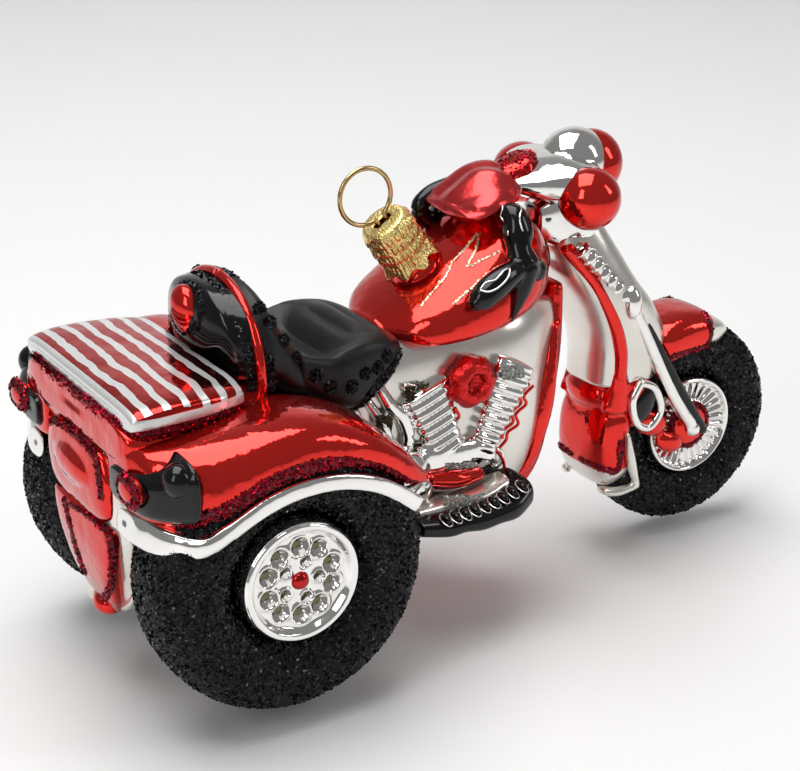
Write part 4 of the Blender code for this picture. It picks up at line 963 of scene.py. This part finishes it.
melted(skin("handlebar_skin_R", right_bar, black, ("handlebar_R",)), 0.34, 6)
melted(skin("handlebar_skin_L", [flipped(grid) for grid in right_bar] + [left_arch], black, ("handlebar_L",)),
       0.34, 6)
print("handlebars done")

# %% [markdown]
# ## Fork, springs and front fender
#
# A pearl form fills the space between the fork legs, with a red band down each side. The silver legs
# start as bumpy springs, pass a knob and run down to the axle. The pearl front fender has a red lobe
# on top and a red flap behind.

# %% Fork
fork_box = (20.5, 47.0, 34.0, 67.0, 9.0)
fork_rows = soft([(0, 0.36, 0.92, 0.88), (0.24, 0.35, 1.0, 0.95), (0.45, 0.26, 0.88, 1.0),
                  (0.64, 0.14, 0.7, 0.96), (0.82, 0.04, 0.56, 0.8), (1, 0, 0.42, 0.6)], 8)


def fork_form(box, rows):
    """Ovals stacked upwards: each row is (height, rear, front, half width), as shares of the box."""
    rear_x, front_x, bottom, top, half = box
    back, fore = (rear_x + (front_x - rear_x) * rows[:, n] for n in (1, 2))
    across, ahead = ovals(half * rows[:, 3], (fore - back) / 2, (fore - back) / 2, 3.0, 96)
    z = bottom + (top - bottom) * rows[:, 0]
    grid = np.stack([((back + fore) / 2)[:, None] + ahead, across, z[:, None] + 0 * ahead], -1)
    return domed(grid, 0.6, 0.6)


skin("fork_shell_skin", [fork_form(fork_box, fork_rows)], pearl, ("fork_shell",))
band = limb([(22.4, -5.0, 63.4, 1.4, 1.4), (27.4, -7.0, 56.5, 1.4, 1.4), (31.8, -7.7, 48.3, 1.4, 1.4),
             (34.0, -7.6, 41.6, 1.4, 1.4), (34.4, -7.2, 35.8, 1.4, 1.4)])
both("fork_band", [band], red)
along = np.linspace(0, 1, 141)
thick = 1.9 * (0.8 + 0.2 * np.cos(14 * np.pi * along))
spring = limb(np.stack([24.0 + 11.6 * along, 0 * along - 7.6, 63.5 - 12.3 * along, thick, thick], 1),
              steps=1)
knob = ball((35.6, -8.2, 51.2), (2.0, 2.4, 3.6))
stem = limb([(35.6, -7.6, 51.2, 1.8, 1.5), (46.4, -7.9, 31.2, 1.4, 1.4), (51.6, -8.2, 23.2, 1.6, 1.5)],
            ends=(0.5, 1.0))
foot = ball((52.2, -8.6, 21.9), (1.9, 1.3, 1.7), 0.5)
for piece in both("fork_leg", [spring, knob, stem, foot], silver):
    melted(piece, 0.3, 1)
stripe = rope([(38.6, -8.2, 48.2, 0.5), (44.2, -8.3, 38.2, 0.95), (49.4, -8.5, 29.4, 1.0),
               (54.4, -8.8, 21.4, 1.1)])
both("fork_leg_stripe", [stripe], black, swap=False)
print("fork done")

# %% Front fender
def arc(start, end, out, half, deep, steps=72):
    """A band round the front axle: ovals at radius tyre + out - deep, swelling by 1 - (2 s - 1)^6 / 2."""
    share = np.linspace(0, 1, steps + 1)
    turn = np.radians(start + (end - start) * share)
    swell = 1 - 0.5 * (2 * share - 1) ** 6
    across, up = ovals(half * swell, deep * swell, np.full(len(share), deep), 3.0, 72)
    radius = FRONT_R + out - deep + up
    grid = np.stack([FRONT_AXLE + radius * np.cos(turn)[:, None], across,
                     FRONT_R + radius * np.sin(turn)[:, None]], -1)
    return domed(grid, 0.4, 0.4)


front_half = FRONT_W / 2 + 1.6
front_fender = arc(208, 61, 2.0, front_half, 3.3, 130)
lobe = arc(121, 76, 3.2, front_half + 1.2, 4.4)
flap = arc(205, 153, 3.4, front_half + 1.4, 4.4)
skin("front_fender_skin", [front_fender], pearl, ("front_fender",))
skin("fender_lobe_skin", [lobe], red, ("fender_lobe",))
neck_of_flap = limb([(34.4, -6.8, 38.0, 1.7, 1.5), (34.6, -6.9, 33.6, 1.5, 2.4),
                     (34.0, -7.0, 29.0, 1.6, 3.4)])
collar = ball((32.6, 0, 31.4), (3.4, 6.4, 3.6))
caliper_body = [ball((38.6, -7.0, 31.6), (4.6, 1.5, 4.2), 0.7),
                ball((42.4, -7.2, 24.6), (4.4, 1.5, 2.8), 0.4),
                ball((47.4, -7.2, 19.4), (3.6, 1.4, 2.2), 0.4)]
side_reds = [neck_of_flap] + caliper_body
melted(skin("fender_flap_skin", [flap, collar] + side_reds + [flipped(grid) for grid in side_reds], red,
            ("fender_flap",)), 0.5, 3)
loop_at = [(38.6, 34.2), (36.8, 30.6), (38.0, 26.0), (41.2, 24.4), (43.8, 27.6), (42.0, 32.4), (38.6, 34.2)]
caliper_loop = tube([(x, -8.5, z) for x, z in loop_at], 0.85, 0.4, 8)
both("caliper_loop", [caliper_loop], silver, swap=False)
both("caliper_shadow_paint", [ball((40.0, -8.1, 29.4), (2.5, 1.0, 3.9), 0.35)], black, swap=False)
border = [limb([(32.0, -6.2, 12.0, 1.6, 0.8), (34.4, -7.8, 11.8, 1.2, 1.0), (38.8, -8.5, 12.4, 0.9, 0.6)]),
          limb([(38.8, -8.5, 12.4, 0.9, 0.6), (37.0, -8.7, 18.0, 0.9, 1.1), (35.8, -8.7, 24.0, 0.8, 0.5)])]
melted(skin("flap_border", border + [flipped(grid) for grid in border], pearl), 0.45, 2)
print("front fender done")

# %% [markdown]
# ## From the photograph to the form
#
# The painted lines and the glitter are placed by eye on the real glass. Here they are placed from a few
# spots read off the photograph (800 by 771 pixels), and the line of sight through each spot is carried
# on to the form, or on to an upright plane at the engine's side.

# %% Sight lines
EYE, AIM = np.array([-184.2, -289.2, 173.4]), np.array([-10.8, 0.0, 40.8])
LENS, SENSOR, PICTURE = 88.41, 36.0, (800, 771)
ZOOM = PICTURE[0] * LENS / SENSOR
MIDDLE = np.array(PICTURE) / 2
gaze = unit(AIM - EYE)
right_hand = unit(np.cross(gaze, (0.0, 0.0, 1.0)))
upwards = np.cross(right_hand, gaze)


def to_picture(points):
    """Pinhole view: sideways and upwards parts, divided by the depth, times the focal length in pixels."""
    away = points - EYE
    depth = away @ gaze
    return np.stack([MIDDLE[0] + ZOOM * (away @ right_hand) / depth,
                     MIDDLE[1] - ZOOM * (away @ upwards) / depth], -1)


def at_side(spots, y):
    """Where the sight lines through places of the picture meet the upright plane at one y."""
    spots = np.asarray(spots, float)
    line = (gaze + right_hand * ((spots[:, :1] - MIDDLE[0]) / ZOOM)
            + upwards * ((MIDDLE[1] - spots[:, 1:]) / ZOOM))
    return EYE + line * ((y - EYE[1]) / line[:, 1])[:, None]


def outward(grid):
    """Unit normals of a grid, turned away from its middle."""
    normal = unit(np.cross(np.roll(grid, -1, 1) - np.roll(grid, 1, 1), np.gradient(grid, axis=0)))
    away = dots(normal, grid - grid.reshape(-1, 3).mean(0)).sum()
    return normal if away > 0 else -normal


def seen(grid, spots):
    """The form's point under each place of the picture.

    It starts at the nearest grid point that faces the eye, and takes a step within that point's patch.
    """
    normal, flat = outward(grid), to_picture(grid)
    inner = np.zeros(grid.shape[:2], bool)
    inner[1:-1] = True
    ready = np.flatnonzero((inner & (dots(normal, EYE - grid) > 0)).ravel())
    gap = ((flat.reshape(-1, 2)[ready][None] - np.asarray(spots, float)[:, None]) ** 2).sum(2)
    r, c = np.divmod(ready[gap.argmin(1)], grid.shape[1])
    nxt = (c + 1) % grid.shape[1]
    along, run = ((part[r + 1, c] - part[r - 1, c]) / 2 for part in (grid, flat))
    around, turn = ((part[r, nxt] - part[r, c - 1]) / 2 for part in (grid, flat))
    miss = np.asarray(spots, float) - flat[r, c]
    area = run[:, 0] * turn[:, 1] - run[:, 1] * turn[:, 0]
    area = np.where(np.abs(area) < 1e-6, 1e9, area)
    a = np.clip((miss[:, 0] * turn[:, 1] - miss[:, 1] * turn[:, 0]) / area, -0.7, 0.7)
    b = np.clip((run[:, 0] * miss[:, 1] - run[:, 1] * miss[:, 0]) / area, -0.7, 0.7)
    return grid[r, c] + along * a[:, None] + around * b[:, None], normal[r, c]


print("a spot on the tank:", np.round(seen(tank, [(450, 290)])[0], 1).tolist())

# %% Lines of glue and glitter on a form
def even(line, reach=2):
    """Each row becomes the mean of its neighbours, which takes the small steps out of a line."""
    padded = np.pad(line, ((reach, reach), (0, 0)), mode="edge")
    return np.mean([padded[k:k + len(line)] for k in range(2 * reach + 1)], axis=0)


def drawn(grid, spots, steps=10):
    """A soft line through places of the picture, carried on to a form: its points and its normals."""
    path, normals = seen(grid, soft(spots, steps))
    return even(path), unit(even(normals, 4))


def bead(path, normals, half, high, count=12, ends=0.2):
    """A low round bead along a line: an oval, `half` wide across the line and `high` above the surface."""
    side = unit(np.cross(unit(np.gradient(path, axis=0)), normals))
    turn = full_turn(count)[None, :, None]
    return domed(path[:, None] + half * side[:, None] * np.cos(turn) + high * normals[:, None] * np.sin(turn),
                 ends, ends)


GLUES = {black_glitter: tyre_paint, red_glitter: red_glue, gold_glitter: gold_glitter}


def glitter_line(name, lines, half, paint, seed, density=9.0, size=0.42, high=0.25):
    """Beads of glue along lines of (path, normals), with flakes scattered evenly along their length."""
    skin(name + "_glue", [bead(path, normals, half, high) for path, normals in lines], GLUES[paint])
    rng = np.random.default_rng(seed)
    spots, outs = [], []
    for path, normals in lines:
        length = np.concatenate([[0], np.cumsum(np.linalg.norm(np.diff(path, axis=0), axis=1))])
        count = int(length[-1] * half * 2 * density)
        at = rng.uniform(0, length[-1], count)
        middle, normal, run = (np.stack([np.interp(at, length, part[:, k]) for k in range(3)], 1)
                               for part in (path, normals, np.gradient(path, axis=0)))
        side = unit(np.cross(run, normal))
        swing = rng.uniform(-1, 1, count)
        spots.append(middle + side * (swing * half * 1.12)[:, None]
                     + normal * (high * np.sqrt(1 - swing ** 2))[:, None])
        outs.append(normal + side * (0.7 * swing)[:, None])
    flakes(name, np.vstack(spots), unit(np.vstack(outs)), size, paint, seed, lift=0.12)


def mirrored_lines(lines):
    """The same lines again on the left side."""
    return lines + [(flipped(path), flipped(normals)) for path, normals in lines]


def grains(name, corners, y, count, size, paint, seed):
    """Flakes over a four-cornered patch of the engine's side, heaped up in its middle, and mirrored."""
    rng = np.random.default_rng(seed)
    s, t = rng.random((2, count, 1))
    a, b, c, d = at_side(corners, y)
    place = (1 - s) * (1 - t) * a + s * (1 - t) * b + s * t * c + (1 - s) * t * d
    place[:, 1] -= (0.35 * 16 * s * (1 - s) * t * (1 - t))[:, 0]
    out = np.repeat([[0.0, -1.0, 0.25]], count, 0)
    flakes(name, np.vstack([place, flipped(place)]), np.vstack([out, flipped(out)]), size, paint, seed,
           lift=0.2)


print("lines ready:", drawn(tank, [(478, 232), (450, 270), (420, 307)])[0].shape)

# %% [markdown]
# ## Stripes, rim and glitter of the lid
#
# White stripes run across the lid, painted by hand, so their edges waver. They are a paint, not a
# relief, and so they are made in the lid's material: a stripe is where the distance along the lid,
# bent a little by noise, falls in the first part of its pitch. A silvery rim runs round the lid's
# edge, with dark red glitter below it.

# %% The lid's painted stripes
def value(material, kind, *inputs):
    """A Math node of one kind over sockets and plain numbers."""
    step = material.node_tree.nodes.new("ShaderNodeMath")
    step.operation = kind
    for k, source in enumerate(inputs):
        if isinstance(source, (int, float)):
            step.inputs[k].default_value = source
        else:
            material.node_tree.links.new(source, step.inputs[k])
    return step.outputs[0]


def object_axes(material):
    """The three object coordinates as sockets."""
    split = material.node_tree.nodes.new("ShaderNodeSeparateXYZ")
    material.node_tree.links.new(object_place(material), split.inputs["Vector"])
    return split.outputs


def paint_below(material):
    """The socket that colours a paint so far."""
    return material.node_tree.nodes["Principled BSDF"].inputs["Base Color"].links[0].from_socket


def blend_paints(material, first, second, amount):
    """Mix two paints, each (colour, roughness, metal share), into the shader of a material by a mask."""
    nodes, links = material.node_tree.nodes, material.node_tree.links
    shader = nodes["Principled BSDF"]
    for k, socket in enumerate(("Base Color", "Roughness", "Metallic")):
        mix = nodes.new("ShaderNodeMix")
        mix.data_type = "FLOAT" if k else "RGBA"
        port = 2 if k else 6
        links.new(amount, mix.inputs[0])
        for way, paint in enumerate((first, second)):
            if isinstance(paint[k], bpy.types.NodeSocket):
                links.new(paint[k], mix.inputs[port + way])
            else:
                mix.inputs[port + way].default_value = paint[k] if k else (*paint[k], 1)
        links.new(mix.outputs[0 if k else 2], shader.inputs[socket])


def repaint(name, material):
    """Give a piece its final paint."""
    materials = bpy.data.objects[name].data.materials
    materials.clear()
    materials.append(material)


STRIPE_PITCH, STRIPE_SHARE = 3.42, 0.40
lid_paint = lacquer("lid_lacquer_with_stripes", (0.74, 0.022, 0.016), (0.30, 0.002, 0.004), 0.13)


def lid_step(kind, *inputs):
    """A Math node in the lid's paint."""
    return value(lid_paint, kind, *inputs)


x, y, z = object_axes(lid_paint)
waver = lid_step("MULTIPLY", lid_step("SUBTRACT", noise(lid_paint, 130, 2), 0.5), 0.0022)
first_stripe = (LID[0] + SHIFT + 2.3) * MM
pitches = lid_step("DIVIDE", lid_step("SUBTRACT", lid_step("ADD", x, waver), first_stripe), STRIPE_PITCH * MM)
mask = lid_step("LESS_THAN", lid_step("FRACT", pitches), STRIPE_SHARE)
for limit in (lid_step("LESS_THAN", lid_step("ABSOLUTE", y), 22.9 * MM),
              lid_step("GREATER_THAN", z, (LID[2] + 2.2) * MM),
              lid_step("LESS_THAN", x, (LID[1] + SHIFT - 0.4) * MM)):
    mask = lid_step("MULTIPLY", mask, limit)
# The rim is white all round below a wavering height, and right across the rear end
rim_top = lid_step("ADD", lid_step("MULTIPLY", waver, 0.25), (LID[2] + 2.35) * MM)
for white in (lid_step("LESS_THAN", z, rim_top), lid_step("LESS_THAN", x, (LID[0] + SHIFT + 1.0) * MM)):
    mask = lid_step("MAXIMUM", mask, white)
blend_paints(lid_paint, (paint_below(lid_paint), 0.13, 1.0), ((0.80, 0.80, 0.79), 0.28, 0.6), mask)
repaint("lid_skin", lid_paint)
print("stripes on the lid:", int((LID[1] - LID[0]) / STRIPE_PITCH))

# %% The flap's pearl border
PEARL_BELOW = 16.6
flap_paint = lacquer("flap_lacquer_with_pearl_border", RED_SQUARE, RED_RIM, RED_ROUGHNESS)
blend_paints(flap_paint, (paint_below(flap_paint), RED_ROUGHNESS, 0.86), ((0.84, 0.81, 0.76), 0.22, 0.8),
             value(flap_paint, "LESS_THAN", object_axes(flap_paint)[2], PEARL_BELOW * MM))
repaint("fender_flap_skin", flap_paint)
print("the flap is pearl below", PEARL_BELOW, "mm")

# %% Glitter below the lid's rim
turn = full_turn(161, True)
lid_middle, lid_length = (LID[0] + LID[1]) / 2, LID[1] - LID[0]
rim_x = lid_middle - 0.1 + (lid_length / 2 + 0.25) * bent(np.cos(turn), 0.33)
narrowing = 1 - 0.10 * np.clip((rim_x - LID[0]) / lid_length, 0, 1) ** 2
rim_y = (LID[4] * 0.985) * narrowing * bent(np.sin(turn), 0.33)
rim_path = np.stack([rim_x, rim_y, 0 * turn + (LID[2] + 0.1)], 1)
rim_out = unit((rim_path - [lid_middle, 0, LID[2]]) * [1.0, 0.5, 0] + [0, 0, 0.5])
glitter_line("lid_edge_glitter", [(rim_path, rim_out)], 1.15, red_glitter, 30, density=10, high=0.5)
print("rim length in mm:", round(float(np.linalg.norm(np.diff(rim_path, axis=0), axis=1).sum()), 1))

# %% [markdown]
# ## Glitter on the tail, the fenders and the lamps
#
# Dark red glitter outlines the tail panel, runs above the silver trim, and frames the lenses of the
# tail lamps. On the real one a few grains have also strayed on to the pearl beside the panel.

# %% Tail and fender glitter
pouch_edge = drawn(pouch, [(38, 418), (50, 419), (68, 427), (85, 441), (95, 458), (99, 480), (101, 500)])
apron_edge = drawn(apron, [(101, 505), (106, 520), (111, 545), (113, 570), (110, 590), (102, 600)])
apron_left = drawn(apron, [(64, 497), (68, 515), (74, 540), (80, 560), (85, 574)])
seam = drawn(apron, [(68, 503), (80, 510), (92, 519), (104, 530)])
glitter_line("tail_panel_glitter", [pouch_edge, apron_edge, apron_left], 0.7, red_glitter, 31)
glitter_line("tail_seam_glitter", [seam], 0.4, red_glitter, 34)
fender_edge = np.array([(-0.86, 0.60, 5.2), (-0.7, 0.62, 2.2), (-0.52, 0.67, 0.9), (-0.26, 0.765, 0.9),
                        (0, 0.82, 0.9), (0.3, 0.80, 0.9), (0.6, 0.69, 1.2), (0.88, 0.48, 2.6)])
above_trim = soft(np.stack([REAR_AXLE + fender_edge[:, 0] * REAR_R, -(REAR_FACE + 1.0 - fender_edge[:, 2]),
                            (1 + fender_edge[:, 1]) * REAR_R], 1), 10)
glitter_line("fender_edge_glitter", mirrored_lines([drawn(fender, to_picture(above_trim), 1)]), 1.2,
             red_glitter, 32, density=10)
ring_turn = full_turn(41, True)
lens_frame = np.stack([LAMP[0] - 0.4 + 0 * ring_turn, 3.4 * np.cos(ring_turn) - FENDER_Y - 0.4,
                       LAMP[2] + 4.6 + 2.3 * np.sin(ring_turn)], 1)
frame_out = unit(np.stack([-1.0 + 0 * ring_turn, 0.7 * np.cos(ring_turn), 0.7 * np.sin(ring_turn)], 1))
glitter_line("lens_frame_glitter", mirrored_lines([(lens_frame, frame_out)]), 0.85, red_glitter, 33)
glossy_ball = drawn(flipped(housing), [(172, 483), (174, 485)], 2)[0].mean(0) + [-0.4, -0.3, 0]
both("lamp_housing_ball", [ball(glossy_ball + [1.5, 0.9, 0], (2.6, 2.9, 2.9))], black, swap=False)
print("tail glitter done")

# %% [markdown]
# ## Studs and black glitter of the seat
#
# Ten round studs of black glitter follow the side of the seat, and black glitter lies on both sides
# of the piping, round the lamp and along the seat's lower edge.

# %% Black glitter on the seat and the backrest
def heaps(spots, grids, seed):
    """Round heaps of 170 flakes: places in a disc about each spot, put on the nearest surface."""
    count, size = 170, 1.25
    rng = np.random.default_rng(seed)
    cloud = np.concatenate([grid.reshape(-1, 3) for grid in grids])
    heart = np.concatenate([np.repeat(grid.reshape(-1, 3).mean(0)[None], grid.size // 3, 0)
                            for grid in grids])
    pick = np.array([np.linalg.norm(cloud - spot, axis=1).argmin() for spot in np.asarray(spots, float)])
    normal = unit((cloud[pick] - heart[pick]) * [0, 1, 0.35])
    a = np.cross(normal, [1.0, 0, 0])
    b = np.cross(normal, a)
    r, t = np.sqrt(rng.random((len(pick), count, 1))), 2 * np.pi * rng.random((len(pick), count, 1))
    place = (cloud[pick][:, None] + normal[:, None] * 0.5 * (1 - r ** 2)
             + size * r * (a[:, None] * np.cos(t) + b[:, None] * np.sin(t)))
    return place.reshape(-1, 3), np.repeat(normal, count, 0)


stud_pixels = [(265, 299), (275, 320), (287, 340), (299, 357), (316, 375), (331, 385), (349, 386), (364, 376),
               (376, 369), (386, 357)]
studs = at_side(stud_pixels, -14.0)
flakes("seat_stud_glitter", *heaps(np.vstack([studs, flipped(studs)]), [seat, backrest], 40), 0.42,
       black_glitter, 41)
arch_out = np.stack([0 * swing, -np.cos(swing), np.sin(swing)], 1)
behind, before = (np.stack([arch[:, 0] + step, arch[:, 1] * 0.99,
                            ARCH_FOOT + (arch[:, 2] - ARCH_FOOT) * 0.98], 1) for step in (-1.7, 1.7))
glitter_line("piping_side_glitter",
             [(soft(behind, 3), soft(arch_out, 3)), (soft(before, 3), soft(arch_out, 3))], 0.95,
             black_glitter, 42, density=11, size=0.5)
seat_edge = drawn(seat, [(401, 350), (392, 368), (380, 382), (368, 398), (358, 408), (350, 412)])
glitter_line("seat_edge_glitter", mirrored_lines([seat_edge]), 0.9, black_glitter, 43, density=10, size=0.5)
lamp_ring = np.stack([187 + 15 * np.cos(ring_turn), 308 + 25 * np.sin(ring_turn)], 1)
glitter_line("hump_lamp_glitter", [drawn(hump, lamp_ring, 1)], 0.6, black_glitter, 44, density=11, size=0.45)
print("studs:", 2 * len(stud_pixels))

# %% [markdown]
# ## Painted and glittered lines at the front
#
# Thin lines of gold and white glitter are drawn over the tank. The lobe and the flap of the front
# fender have a granular dark red edge, and silvery outlines run over the black handlebars.

# %% Front lines
squiggles = [drawn(tank, spots, 6) for spots in (
    [(478, 232), (466, 248), (452, 262), (446, 276), (434, 290), (420, 307)],
    [(502, 250), (486, 258), (467, 267), (476, 250), (480, 232)],
    [(500, 267), (484, 276), (470, 290), (452, 305)])]
glitter_line("tank_line_glitter", squiggles, 0.22, gold_glitter, 50, density=30, size=0.26, high=0.12)
lobe_edge = drawn(lobe, [(664, 353), (668, 358), (680, 354), (694, 350), (706, 346), (711, 336), (710, 324),
                         (704, 312)])
flap_edge = drawn(flap, [(579, 458), (590, 464), (603, 469), (616, 472), (620, 462), (620, 450), (621, 440)])
glitter_line("front_edge_glitter", mirrored_lines([lobe_edge, flap_edge]), 0.65, red_glitter, 51)
disc_turn = full_turn(81, True)
disc_line = np.stack([FRONT_AXLE + 4.5 * np.cos(disc_turn), 0 * disc_turn - (FRONT_FACE - 0.35),
                      FRONT_R + 4.5 * np.sin(disc_turn)], 1)
disc_out = unit(np.stack([0.6 * np.cos(disc_turn), 0 * disc_turn - 1, 0.6 * np.sin(disc_turn)], 1))
glitter_line("disc_edge_glitter", mirrored_lines([(disc_line, disc_out)]), 0.55, red_glitter, 52, density=12,
             size=0.36)
flakes("gauge_glitter", *area_scatter(gauge, 900, 53, lambda p: p[..., 2] > 78.2), 0.36, red_glitter, 54)
bar_lines = [drawn(grid, spots, 6) for grid, spots in (
    (bar, [(497, 198), (503, 208), (500, 216), (507, 226), (508, 236)]),
    (bar, [(517, 196), (522, 208), (519, 218), (523, 232)]),
    (grip, [(480, 290), (486, 282), (496, 280), (502, 272), (510, 268), (508, 278), (498, 288), (488, 292),
            (480, 290)]),
    (knuckle, [(500, 250), (506, 244), (514, 246), (515, 254), (507, 258), (500, 252)]))]
skin("handlebar_outlines",
     [bead(path, normals, 0.17, 0.14, 8, 0.1) for path, normals in mirrored_lines(bar_lines)], silver)
print("front lines done")

# %% [markdown]
# ## Grains and lines of the engine
#
# Between the silver forms of the engine lie rough patches: dark olive ones in the hollows, grey ones on
# the cylinder head and above the footboard. Thin red lines follow the cylinders.

# %% Engine patches and red lines
olive = speckled("dark_olive_grains", (0.03, 0.025, 0.010), (0.06, 0.051, 0.022), 0.3, 0.7)
grey = speckled("grey_grains", (0.34, 0.35, 0.32), (0.50, 0.51, 0.48), 0.35, 0.6)
for k, corners in enumerate([[(405, 387), (428, 383), (426, 404), (406, 408)],
                             [(376, 416), (392, 414), (391, 431), (377, 433)],
                             [(407, 446), (425, 443), (424, 452), (408, 454)],
                             [(408, 470), (423, 472), (421, 484), (407, 481)]]):
    grains(f"olive_grains_{k + 1}", corners, -12.5, 420, 0.42, olive, 60 + k)
for k, corners in enumerate([[(500, 368), (523, 366), (524, 377), (503, 380)],
                             [(446, 464), (476, 462), (477, 473), (447, 476)],
                             [(442, 496), (484, 494), (482, 508), (446, 511)]]):
    grains(f"grey_grains_{k + 1}", corners, (-14.4, -14.4, -19.3)[k], 520, 0.38, grey, 70 + k)
red_lines = [at_side(spots, y) for spots, y in (
    ([(533, 386), (524, 396), (526, 404), (516, 414), (518, 424), (508, 432), (506, 440), (500, 447)], -12.6),
    ([(529, 384), (520, 395), (521, 403), (512, 412), (513, 422), (504, 430), (502, 438)], -12.9),
    ([(455, 408), (459, 416), (454, 424), (459, 432), (455, 441)], -12.6),
    ([(492, 447), (500, 455), (504, 464), (503, 474)], -13.0))]
both("engine_red_lines", [tube(line, 0.32, 0.2, 6, 8) for line in red_lines], red, swap=False)
print("engine patches:", 7)

# %% [markdown]
# ## Floor, light and camera
#
# The ornament stands on a white table in front of a pale wall. Both are one sheet that curves up
# behind it. A large soft light hangs above, with a weaker one beside the camera, so that the glass
# mirrors broad white areas with soft edges and darker room between them.

# %% Floor and wall
sheet = soft([(-2.2, 0.0), (0.35, 0.0), (0.62, 0.05), (0.80, 0.2), (0.86, 0.5), (0.88, 1.6)], 12)
AHEAD, ASIDE = np.array([0.514, 0.858, 0.0]), np.array([0.858, -0.514, 0.0])
wide = np.linspace(-2.2, 2.2, 12)
run, rise = sheet[:, None, :1], sheet[:, None, 1:]
floor_grid = AHEAD * run + ASIDE * wide[:, None] + np.array([0, 0, 1.0]) * rise
floor_mesh = bpy.data.meshes.new("floor_and_wall")
k = np.arange(len(sheet) - 1)[:, None] * len(wide) + np.arange(len(wide) - 1)
floor_faces = np.stack([k, k + len(wide), k + len(wide) + 1, k + 1], -1).reshape(-1, 4)
floor_mesh.from_pydata(floor_grid.reshape(-1, 3).tolist(), [], floor_faces.tolist())
floor_mesh.polygons.foreach_set("use_smooth", np.ones(len(floor_faces), bool))
floor_mesh.materials.append(finish("white_table_and_wall", (0.82, 0.82, 0.815), 0.5, 0.0))
floor = bpy.data.objects.new("floor_and_wall", floor_mesh)
bpy.context.scene.collection.objects.link(floor)
print("floor faces:", len(floor_faces))

# %% Lights and surroundings
def turn_to(look):
    """Euler angles that point an object's -Z along a line, with its Y upwards."""
    return math.acos(-look[2] / np.linalg.norm(look)), 0, math.atan2(look[1], look[0]) - math.pi / 2


def soft_light(name, spot, aim, size, watts):
    """A rectangular area light that looks at a point."""
    lamp = bpy.data.lights.new(name, "AREA")
    lamp.shape = "RECTANGLE"
    lamp.size, lamp.size_y = size
    lamp.energy = watts
    lamp_object = bpy.data.objects.new(name, lamp)
    bpy.context.scene.collection.objects.link(lamp_object)
    lamp_object.location = spot
    look = np.array(aim, float) - np.array(spot, float)
    lamp_object.rotation_euler = turn_to(look)


soft_light("overhead", (-0.1, 0.1, 0.8), (0, 0, 0.03), (0.8, 0.6), 7.0)
soft_light("beside_camera", (-0.75, -0.30, 0.5), (0, 0, 0.04), (0.22, 0.5), 1.5)
soft_light("from_the_right", (0.6, -0.5, 0.5), (0, 0, 0.04), (0.18, 0.45), 1.2)
world = bpy.data.worlds.new("room")
world.use_nodes = True
world.node_tree.nodes["Background"].inputs["Color"].default_value = (0.50, 0.50, 0.51, 1)
world.node_tree.nodes["Background"].inputs["Strength"].default_value = 0.45
bpy.context.scene.world = world
print("lights ready")

# %% Camera at the photograph's angle
eye, aim = (EYE + [SHIFT, 0, 0]) * MM, (AIM + [SHIFT, 0, 0]) * MM
camera_data = bpy.data.cameras.new("camera")
camera_data.lens, camera_data.sensor_width, camera_data.sensor_fit = LENS, SENSOR, "HORIZONTAL"
camera_data.clip_start, camera_data.clip_end = 0.01, 20.0
camera = bpy.data.objects.new("camera", camera_data)
bpy.context.scene.collection.objects.link(camera)
camera.location = eye
camera.rotation_euler = turn_to(aim - eye)
bpy.context.scene.camera = camera
bpy.context.scene.view_settings.view_transform = "Standard"
print("camera:", [round(float(v), 4) for v in eye])
